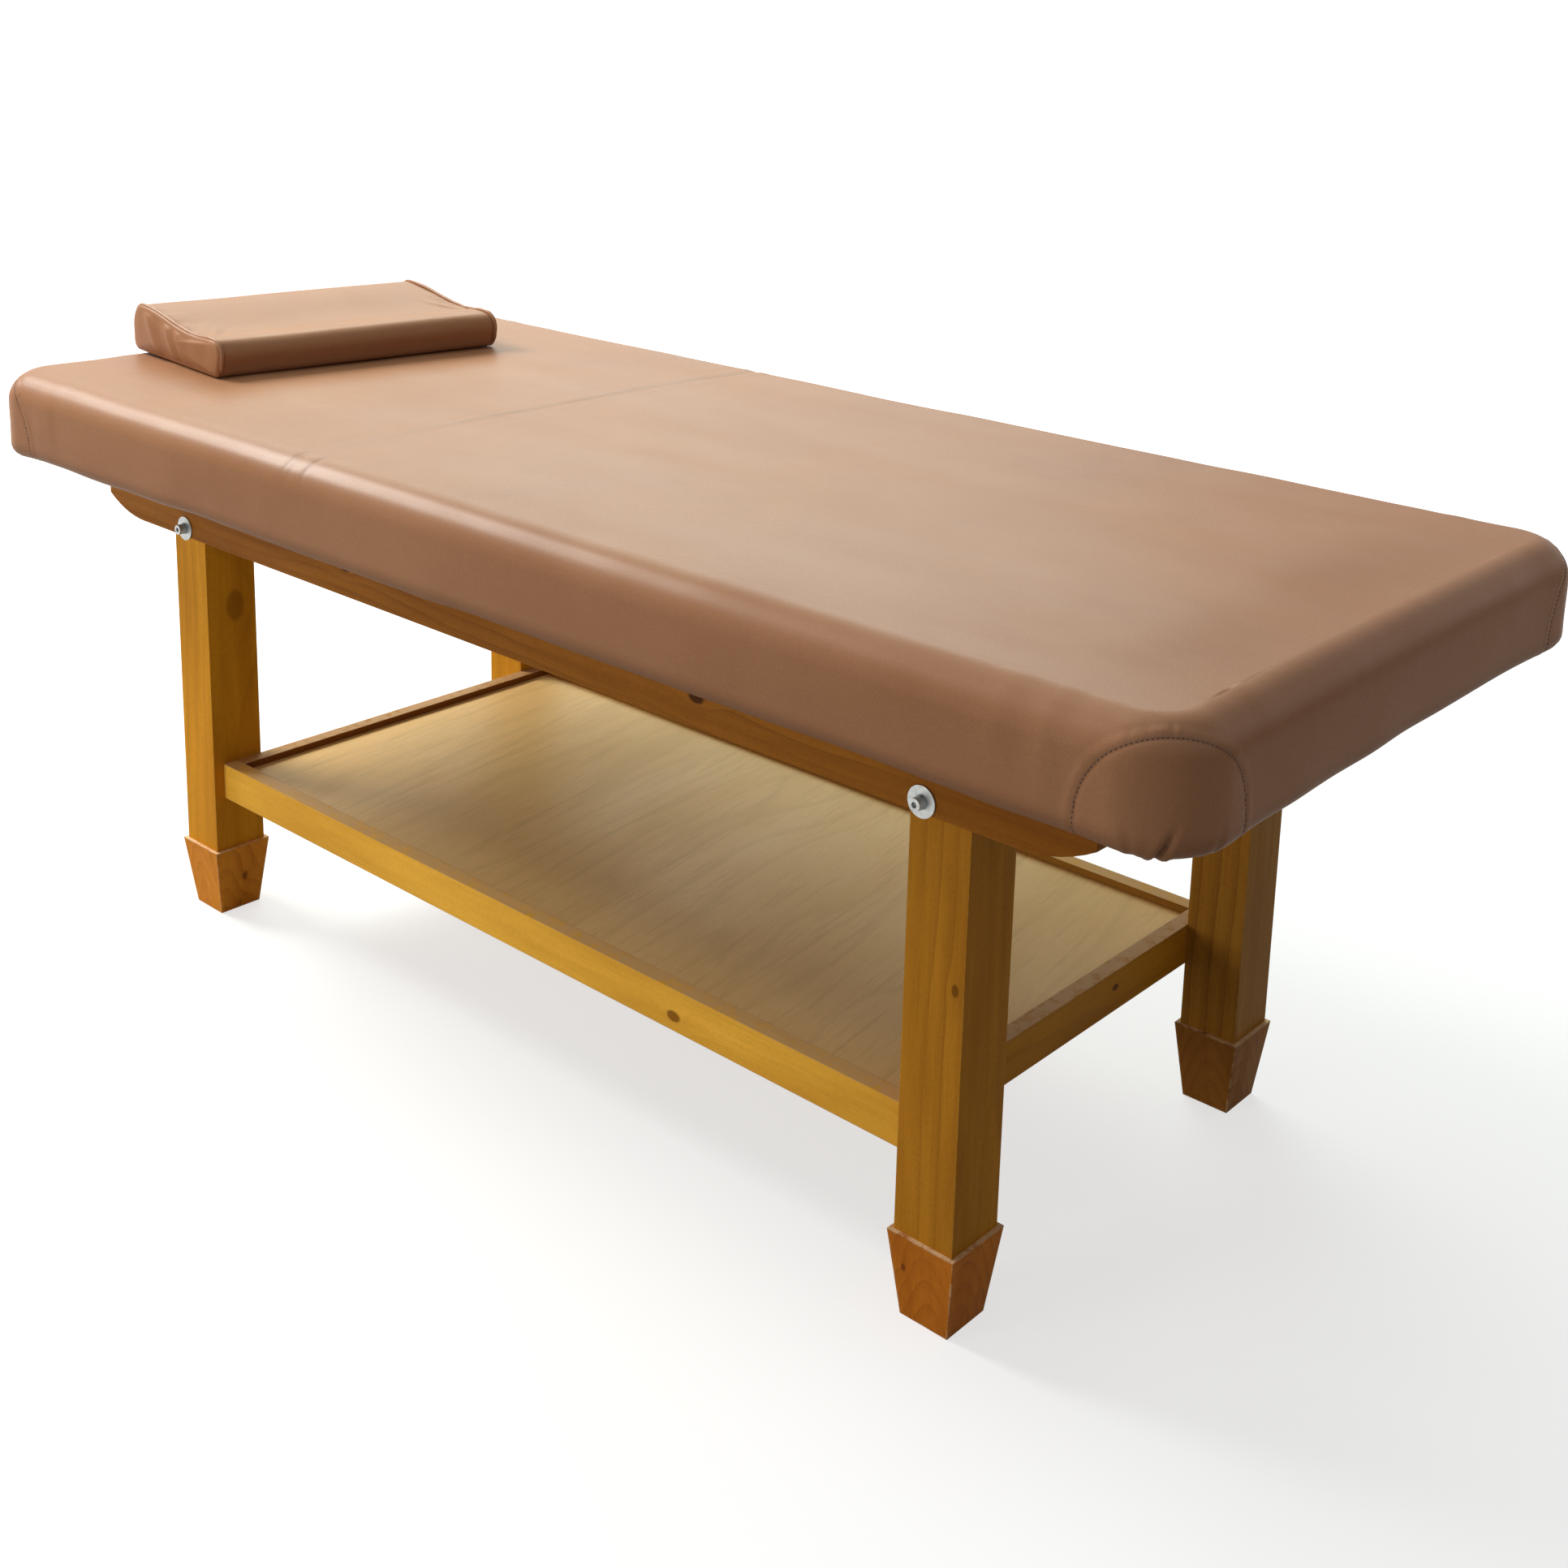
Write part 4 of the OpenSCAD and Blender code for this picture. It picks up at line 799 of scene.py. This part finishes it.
PILLOW_L = 0.440
PILLOW_W = 0.275
RIDGE_H = 0.067
DIP_H = 0.0485
FRONT_H = 0.0505
BASE_R = 0.014
NOSE_R = 0.022
FRONT_LEAN = 0.003
RIDGE_X, DIP_X, FRONT_X = -0.395 * PILLOW_W, 0.24 * PILLOW_W, 0.38 * PILLOW_W
PROFILE_POINTS = 144
PILLOW_MID = np.array([-0.012, 0.031])
PILLOW_AT = (-0.775, 0.0, 0.7363)
PILLOW_TURN = math.radians(-6.5)
EDGE_R = 0.005
PIPING_R = 0.0026
PIPING_IN = 0.0052
PIPING_SIDES = 10
PILLOW_POLISH = 0.6
PIPING_POLISH = 1.2

# Ridges and hollows of the end panels, as (place, width, height). A place is constant down a fold,
# which leans towards the front.
FOLD_LEAN = 0.75
PANEL_FOLDS = (
    (-0.040, 0.0100, 0.0016), (-0.012, 0.0130, -0.0012), (0.019, 0.0085, 0.0022),
    (0.033, 0.0065, -0.0010), (0.047, 0.0080, 0.0014), (0.072, 0.0120, -0.0008),
)
# Pulls in the top panel, from the seam inwards: start, end, width and height
TOP_PULLS = (
    ((0.105, -0.209), (0.014, -0.165), 0.0065, 0.0016),
    ((0.073, -0.211), (-0.025, -0.157), 0.0075, 0.0012),
    ((0.117, -0.205), (0.073, -0.163), 0.0050, 0.0010),
    ((0.034, -0.212), (-0.039, -0.191), 0.0050, 0.0009),
    ((0.092, -0.197), (0.021, -0.145), 0.0060, -0.0012),
    ((0.094, 0.208), (-0.012, 0.173), 0.0050, 0.0013),
    ((0.069, 0.212), (-0.039, 0.193), 0.0045, 0.0010),
    ((0.110, 0.201), (0.039, 0.147), 0.0060, 0.0010),
    ((0.080, 0.201), (0.005, 0.165), 0.0045, -0.0010),
)


def arc(cx, cz, r, start, sweep, count):
    turns = [math.radians(start + sweep * i / count) for i in range(count + 1)]
    return [(cx + r * math.cos(a), cz + r * math.sin(a)) for a in turns]


def pillow_profile():
    """(x, z) around the pillow, evenly spaced, from the lower front corner up and over to the back."""
    half = PILLOW_W / 2
    foot = half - FRONT_LEAN - BASE_R

    def wave(x0, z0, x1, z1, count):
        places = np.linspace(x0, x1, count)[1:]
        return [(x, z0 + (z1 - z0) * (1 - math.cos(math.pi * (x - x0) / (x1 - x0))) / 2) for x in places]

    points = arc(foot, BASE_R, BASE_R, -90, 80, 10)
    points += arc(half - NOSE_R, FRONT_H - NOSE_R, NOSE_R, 0, 84, 14)
    points += wave(FRONT_X, FRONT_H, DIP_X, DIP_H, 12)
    points += wave(DIP_X, DIP_H, RIDGE_X, RIDGE_H, 40)
    back = [math.radians(90 + 3 * i) for i in range(1, 31)]
    points += [(RIDGE_X + (half + RIDGE_X) * math.cos(a), RIDGE_H / 2 * (1 + math.sin(a))) for a in back]
    points += arc(-half + BASE_R, BASE_R, BASE_R, 180, 90, 10)
    points += [(x, 0.0) for x in np.linspace(-half + BASE_R, foot, 42)[1:-1]]
    line = np.array(points + points[:1])
    length = walked(line)
    at = np.linspace(0, length[-1], PROFILE_POINTS + 1)[:-1]
    return np.stack([np.interp(at, length, line[:, 0]), np.interp(at, length, line[:, 1])], 1)


def profile_normals():
    ahead = np.roll(PROFILE, -1, 0) - np.roll(PROFILE, 1, 0)
    normal = np.stack([ahead[:, 1], -ahead[:, 0]], 1)
    return normal / np.linalg.norm(normal, axis=1)[:, None]


PROFILE = pillow_profile()
NORMALS = profile_normals()


def pillow_space(points):
    """Moves points of the pillow to where it lies, turned a little."""
    move = np.array(Matrix.Translation(PILLOW_AT) @ Matrix.Rotation(PILLOW_TURN, 4, "Z"))
    return np.asarray(points) @ move[:3, :3].T + move[:3, 3]


def from_line(x, y, start, end):
    """The distance of places from a straight line, and how far along it they are, from 0 to 1."""
    ax, ay = end[0] - start[0], end[1] - start[1]
    along = ((x - start[0]) * ax + (y - start[1]) * ay) / (ax * ax + ay * ay)
    across = ((x - start[0]) * ay - (y - start[1]) * ax) / math.hypot(ax, ay)
    return across, along


def end_panel_ring(share, end):
    """One ring of an end panel, from near its middle at share 0 to its rounded edge at share 1.
    Also the painted shade in the hollows of its folds."""
    strength, place_scale = (1.0, 1.0) if end < 0 else (0.6, 0.8)
    rim = PROFILE - NORMALS * EDGE_R
    p = PILLOW_MID + (rim - PILLOW_MID) * share
    x, height = p[:, 0], p[:, 1]
    slide = x + FOLD_LEAN * height
    calm = ease(1.0, 0.80, np.full(len(p), share)) * ease(0.0, 0.014, height)
    push = 0.0007 * smooth_noise(x * 30, height * 30, end * 3.0, 26)
    for place, width, rise in PANEL_FOLDS:
        push = push + strength * rise * bell(slide - place * place_scale, width)
    belly = 0.0050 * (1 - share**2.4)
    y = end * (PILLOW_L / 2 + push * calm + belly)
    # The second value is painted shade where the folds sink in
    return np.stack([x, y, np.maximum(height, 0)], 1), np.clip(-push * calm * 60, 0, 0.12)


def body_ring(y, inset):
    """One ring of the long panel, with gathers beside the seams and pulls across the top. Also the
    painted shade in its seam's groove."""
    p = PROFILE - NORMALS * inset
    x, height = p[:, 0], p[:, 1]
    end = -1 if y < 0 else 1
    gap = PILLOW_L / 2 - abs(y)
    above = ease(0.0, 0.008, height)
    yy = np.full(len(p), y)
    rise = 0.0007 * smooth_noise(x * 18, yy * 10, height * 18, 21)
    seam = bell(gap - PIPING_IN - PIPING_R - 0.0006, 0.0020) * above
    rise -= 0.0010 * seam
    reach = math.exp(-max(gap - PIPING_IN, 0) / 0.020) * float(ease(0.004, 0.010, gap))
    rise += above * reach * 0.0011 * smooth_noise(x * 95 + 3 * end, end * 4.0, yy * 6, 22)
    front = ease(0.80, 0.94, x / (PILLOW_W / 2))
    rise += front * above * reach * 0.0014 * smooth_noise(height * 120, gap * 30, end * 2.0, 23)
    on_top = NORMALS[:, 1] > 0.3
    for start, stop, width, lift in TOP_PULLS:
        across, along = from_line(x, yy, start, stop)
        rise += on_top * lift * bell(across, width) * ease(-0.05, 0.15, along) * ease(1.15, 0.45, along)
    # The front hangs in a little above the bottom edge
    rise -= 0.0020 * front * bell(height - 0.012, 0.010)
    rise = rise * ease(0.0, 0.004, height)
    heights = np.maximum(height + NORMALS[:, 1] * rise, 0)
    # The seam's groove also gets painted shade
    return np.stack([x + NORMALS[:, 0] * rise, yy, heights], 1), 0.30 * seam


def build_pillow():
    """The pillow's cover, in rings from the middle of one end panel to that of the other."""
    half = PILLOW_L / 2
    start = half - 0.0056
    shares = list(np.linspace(0.04, 0.97, 24))
    turns = np.linspace(0, math.pi / 2, 6)
    edge = [(half - EDGE_R * (1 - math.cos(a)), EDGE_R * (1 - math.sin(a))) for a in turns]
    marks = (-start, 0.040 - half, 0.090 - half, half - 0.090, half - 0.040, start)
    body = [-start]
    for a, b, count in zip(marks, marks[1:], (25, 17, 25, 17, 25)):
        body += list(np.linspace(a, b, count + 1)[1:])
    rings = [end_panel_ring(share, -1) for share in shares]
    rings += [body_ring(-y, inset) for y, inset in edge]
    rings += [body_ring(y, 0.0) for y in body]
    rings += [body_ring(y, inset) for y, inset in reversed(edge)]
    rings += [end_panel_ring(share, 1) for share in reversed(shares)]
    count = len(PROFILE)
    last = (len(rings) - 1) * count
    hub = len(rings) * count
    faces = []
    for k in range(len(rings) - 1):
        faces += band(k * count, (k + 1) * count, count)
    for i in range(count):
        j = (i + 1) % count
        faces.append((hub, j, i))
        faces.append((hub + 1, last + i, last + j))
    points = [points for points, _ in rings]
    caps = [points[0].mean(0), points[-1].mean(0)]
    obj = mesh_piece("pillow", pillow_space(np.concatenate(points + [caps])), faces)
    paint(obj, "seam", np.concatenate([dark for _, dark in rings] + [np.zeros(2)]))
    on_body = np.zeros(len(rings))
    on_body[len(shares):-len(shares)] = 1.0
    upper = ease(0.1, 0.8, NORMALS[:, 1])
    paint(obj, "polish", np.concatenate([PILLOW_POLISH * np.outer(on_body, upper).ravel(), np.zeros(2)]))
    return obj


def build_piping(name, end):
    """The corded seam from the back's foot over the top to the front's foot at one end."""
    path = [(p, n) for p, n in zip(PROFILE, NORMALS) if p[1] > 0.007]
    verts = []
    for i, (p, n) in enumerate(path):
        wave = float(smooth_noise(i * 0.30, end, 0.5, 31) + 0.5 * smooth_noise(i * 0.9, end, 2.5, 32))
        size = PIPING_R * (0.5 if i in (0, len(path) - 1) else 1.0 + 0.05 * wave)
        y = end * (PILLOW_L / 2 - PIPING_IN + 0.0004 * wave)
        mid = p + n * (0.0002 + 0.0003 * wave)
        for k in range(PIPING_SIDES):
            a = 2 * math.pi * k / PIPING_SIDES
            x, z = mid + n * size * math.cos(a)
            verts.append((x, y + size * math.sin(a), z))
    obj = mesh_piece(name, pillow_space(verts), tube(len(path), PIPING_SIDES))
    paint(obj, "polish", np.full(len(verts), PIPING_POLISH))
    return obj


LEATHER = (0.350, 0.165, 0.083)
leather = leather_material("leatherette", LEATHER)
stitch_thread = thread_material()

cover = build_cover()
outward(cover)
cover.data.materials.append(leather)
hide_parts("seat_cover", "backrest_cover", "fold_cover", "seat_foam", "backrest_foam", "fold_foam")
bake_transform(cover)

for label, sx, sy, body in (
    ("head_right", -1, -1, "backrest"), ("head_left", -1, 1, "backrest"),
    ("foot_right", 1, -1, "bed_frame"), ("foot_left", 1, 1, "bed_frame"),
):
    row = corner_stitches("stitches_" + label, sx, sy)
    row.data.materials.append(stitch_thread)
    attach(row, body)

pillow = build_pillow()
outward(pillow)
pillow.data.materials.append(leather)
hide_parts("pillow_cover", "pillow_foam")
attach(pillow, "pillow")
for label, end in (("right", -1), ("left", 1)):
    piping = build_piping("pillow_piping_" + label, end)
    outward(piping)
    piping.data.materials.append(leather)
    if end < 0:
        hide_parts("pillow_piping")
    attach(piping, "pillow")

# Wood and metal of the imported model. Each wood is its light and its dark tone

LEG = ((0.540, 0.225, 0.018), (0.280, 0.100, 0.010))
# The head legs and boots are paler copies of the stain with painted light, and the far ones darker
# copies with painted shade
HEAD_LEG_PAINTED_LIGHT = ((0.730, 0.315, 0.018), (0.435, 0.168, 0.010))
FAR_LEG_PAINTED_SHADE = ((0.400, 0.175, 0.022), (0.210, 0.080, 0.012))
BOOT = ((0.600, 0.190, 0.016), (0.350, 0.095, 0.009))
HEAD_BOOT_PAINTED_LIGHT = ((0.760, 0.285, 0.030), (0.465, 0.142, 0.014))
FAR_BOOT_PAINTED_SHADE = ((0.330, 0.130, 0.022), (0.180, 0.062, 0.011))
RAIL = ((0.360, 0.130, 0.015), (0.165, 0.052, 0.008))
SHELF = ((0.940, 0.500, 0.060), (0.740, 0.330, 0.030))
BEECH = ((0.62, 0.45, 0.26), (0.45, 0.30, 0.15))
PANEL = ((0.920, 0.595, 0.245), (0.620, 0.370, 0.140))
BOARD = ((0.42, 0.31, 0.17), (0.25, 0.16, 0.075))
# The colour of the painted shade on the shelf rails' inner faces
INNER_PAINTED_SHADE = (0.16, 0.048, 0.014)
SHELF_WEAR = {"raw_top": 0.6, "worn_colour": (0.66, 0.43, 0.24), "contrast": 0.45}


def dress(material, *nodes):
    """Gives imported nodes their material."""
    for node in nodes:
        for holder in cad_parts[node].material_slots:
            holder.material = material


# The head legs carry painted light and the far leg painted shade in their colours
for seed, (node, tones, knots) in enumerate((
    ("leg_head_right", HEAD_LEG_PAINTED_LIGHT, [((-0.600, -0.262, 0.440), 0.014, 0.50)]),
    ("leg_head_left", HEAD_LEG_PAINTED_LIGHT, []),
    ("leg_foot_right", LEG, [((0.661, -0.303, 0.372), 0.0042, 0.75)]),
    ("leg_foot_left", FAR_LEG_PAINTED_SHADE, []),
)):
    dress(wood_material("wood_" + node, tones, "z", seed + 1, 0.019, knots, worn=0.35,
                        worn_colour=(0.72, 0.40, 0.09)), node)

# Each boot's own pith, as (x, y), and how much its rings narrow upwards
# The head boots carry painted light and the far boot painted shade in their colours
for seed, (node, tones, knots, heart, taper) in enumerate((
    ("boot_head_right", HEAD_BOOT_PAINTED_LIGHT, [((-0.595, -0.262, 0.045), 0.0075), ((-0.600, -0.268, 0.006), 0.006)],
     (-0.640, -0.290), 0.30),
    ("boot_head_left", HEAD_BOOT_PAINTED_LIGHT, [], (-0.632, 0.288), 0.34),
    ("boot_foot_right", BOOT, [((0.614, -0.305, 0.058), 0.0032, 0.8)], (0.642, -0.287), 0.34),
    ("boot_foot_left", FAR_BOOT_PAINTED_SHADE, [], (0.646, 0.246), 0.30),
)):
    dress(wood_material("wood_" + node, tones, "z", seed + 11, 0.012, knots, worn=0.9,
                        worn_colour=(0.85, 0.60, 0.34), contrast=1.0, rough=0.5, raw_top=0.9,
                        heart=heart, taper=taper), node)

# The shelf rails' inner faces are darkened with painted shade
INWARDS = {
    "shelf_rail_right": "+y", "shelf_rail_left": "-y", "shelf_rail_head": "+x", "shelf_rail_foot": "-x",
}
KNOTS = {
    "side_rail_right": [((-0.268, -0.316, 0.580), 0.007), ((0.330, -0.316, 0.575), 0.007)],
    "side_rail_left": [((0.120, 0.316, 0.575), 0.008)],
    "shelf_rail_right": [((0.275, -0.2885, 0.188), 0.0065)],
    "shelf_rail_left": [((-0.190, 0.2885, 0.200), 0.006)],
    "shelf_rail_foot": [((0.600, 0.080, 0.200), 0.004)],
}
seed = 31
for axis, tones, nodes in (
    ("x", RAIL, "side_rail_right side_rail_left"),
    ("y", RAIL, "leg_rail_head leg_rail_foot end_rail_head end_rail_foot hinge_rail seat_bearer"),
    ("x", RAIL, "batten_right batten_left"), ("x", LEG, "rack_right rack_left"),
    ("x", SHELF, "shelf_rail_right shelf_rail_left"), ("y", LEG, "shelf_rail_head shelf_rail_foot"),
    ("x", SHELF, "shelf_cleats"), ("y", SHELF, "shelf_bearer"),
):
    for node in nodes.split():
        wear = SHELF_WEAR if "shelf" in node else {}
        dress(wood_material("wood_" + node, tones, axis, seed, knots=KNOTS.get(node, ()), worn=0.4,
                            inner=INWARDS.get(node), **wear), node)
        seed += 1

dress(wood_material("wood_dowels", BEECH, "y", 71, pitch=0.003, contrast=0.3), "frame_dowels")
dress(plywood_material("plywood_panel", PANEL, 1, 1.42), "shelf_panel")
dress(plywood_material("plywood_boards", BOARD, 2, 0.05), "seat_board", "backrest_board")
dress(metal_material("zinc_plate", (0.44, 0.45, 0.44), 0.40, 1), "frame_bolts", "wide_washers",
      "barrel_nuts", "boot_screws", "shelf_screws", "seat_board_screws", "batten_screws",
      "hinge_leaves_fixed", "hinge_leaves_moving", "hinge_screws_fixed", "hinge_screws_moving")
dress(metal_material("dark_steel", (0.30, 0.30, 0.31), 0.45, 2), "spring_washers", "hinge_pins",
      "prop_bar_right", "prop_bar_left", "prop_rod", "prop_rivets")

# Floor: pale, with the lamps' shadows, and glowing white towards the distance in the camera's view

FLOOR_REACH = 40
FLOOR_GREY = (0.42, 0.42, 0.42)
WHITE = (1.0, 1.0, 1.0)
NEAR_GLOW, NEAR_EDGE = 0.66, 1.4
FAR_GLOW, FAR_EDGE = 1.0, 3.4

corners = [(-1, -1), (1, -1), (1, 1), (-1, 1)]
floor = mesh_piece("floor", [(x * FLOOR_REACH, y * FLOOR_REACH, 0) for x, y in corners],
                   [(0, 1, 2, 3)], smooth=False)
pale = bpy.data.materials.new("pale_floor")
pale.use_nodes = True
pale.node_tree.nodes.clear()
n = Nodes(pale.node_tree)
rays = n.new("LightPath").outputs
seen = n.math("MAXIMUM", rays["Is Camera Ray"], rays["Is Glossy Ray"])
reach = n.vector("LENGTH", n.new("TexCoord").outputs["Object"])
fade = n.spread(reach, NEAR_EDGE, FAR_EDGE, NEAR_GLOW, FAR_GLOW)
glow = n.new("Emission", WHITE, n.times(seen, fade))
both = n.new("AddShader", n.new("BsdfDiffuse", FLOOR_GREY).outputs[0], glow.outputs[0])
n.new("OutputMaterial", both.outputs[0])
floor.data.materials.append(pale)

# World: a dim warm room for the light, and white where it is seen directly, mirrored or through

ROOM_COLOUR = (1.0, 0.99, 0.97)
ROOM_STRENGTH = 0.28

world = bpy.data.worlds.new("soft_room")
bpy.context.scene.world = world
world.use_nodes = True
world.node_tree.nodes.clear()
n = Nodes(world.node_tree)
rays = n.new("LightPath").outputs
seen = n.math("MAXIMUM", rays["Is Camera Ray"], rays["Is Glossy Ray"])
seen = n.math("MAXIMUM", seen, rays["Is Transmission Ray"])
room = n.new("Background", ROOM_COLOUR, ROOM_STRENGTH)
white = n.new("Background", WHITE)
pick = n.new("MixShader", seen, room.outputs[0], white.outputs[0])
n.new("OutputWorld", pick.outputs[0])

# Lamps and camera


def lamp(name, at, towards, width, height, power, colour):
    light = bpy.data.lights.new(name, "AREA")
    light.shape = "ELLIPSE"
    light.size = width
    light.size_y = height
    light.energy = power
    light.color = colour
    obj = bpy.data.objects.new(name, light)
    obj.location = at
    obj.rotation_euler = (Vector(towards) - Vector(at)).to_track_quat("-Z", "Y").to_euler()
    bpy.context.scene.collection.objects.link(obj)


lamp("key_light", (-3.6, -0.9, 3.2), (0.0, 0.0, 0.5), 1.9, 1.9, 215, (0.99, 1.0, 0.95))
lamp("low_light", (-1.3, -3.9, 0.8), (-0.2, 0.0, 0.3), 1.8, 1.4, 42, (1.0, 0.97, 0.92))
lamp("top_light", (-0.5, 0.3, 4.0), (0.0, 0.0, 0.6), 2.6, 2.6, 28, (0.88, 1.0, 0.94))
lamp("back_light", (-3.2, 2.5, 3.0), (0.0, 0.0, 0.6), 5.0, 2.4, 145, (0.86, 1.0, 0.91))

IMAGE_SIDE = 1932
FOCAL_PX = 2396
CENTRE_PX = (1050, 500)
CAMERA_AT = (1.6431, -1.6353, 1.2838)
AZIMUTH, ELEVATION, ROLL = (math.radians(a) for a in (40.296, 12.245, 1.798))

back = Vector((math.sin(AZIMUTH) * math.cos(ELEVATION), -math.cos(AZIMUTH) * math.cos(ELEVATION),
               math.sin(ELEVATION)))
level = Vector((0, 0, 1)).cross(back).normalized()
upright = back.cross(level)
right = level * math.cos(ROLL) + upright * math.sin(ROLL)
up = upright * math.cos(ROLL) - level * math.sin(ROLL)
camera_data = bpy.data.cameras.new("photo_camera")
camera_data.sensor_width = 36.0
camera_data.lens = FOCAL_PX / IMAGE_SIDE * camera_data.sensor_width
camera_data.shift_x = (IMAGE_SIDE / 2 - CENTRE_PX[0]) / IMAGE_SIDE
camera_data.shift_y = (CENTRE_PX[1] - IMAGE_SIDE / 2) / IMAGE_SIDE
camera_data.clip_end = 200
camera = bpy.data.objects.new("photo_camera", camera_data)
camera.matrix_world = Matrix.Translation(CAMERA_AT) @ Matrix((right, up, back)).transposed().to_4x4()
bpy.context.scene.collection.objects.link(camera)
bpy.context.scene.camera = camera

bpy.context.scene.view_settings.view_transform = "Standard"
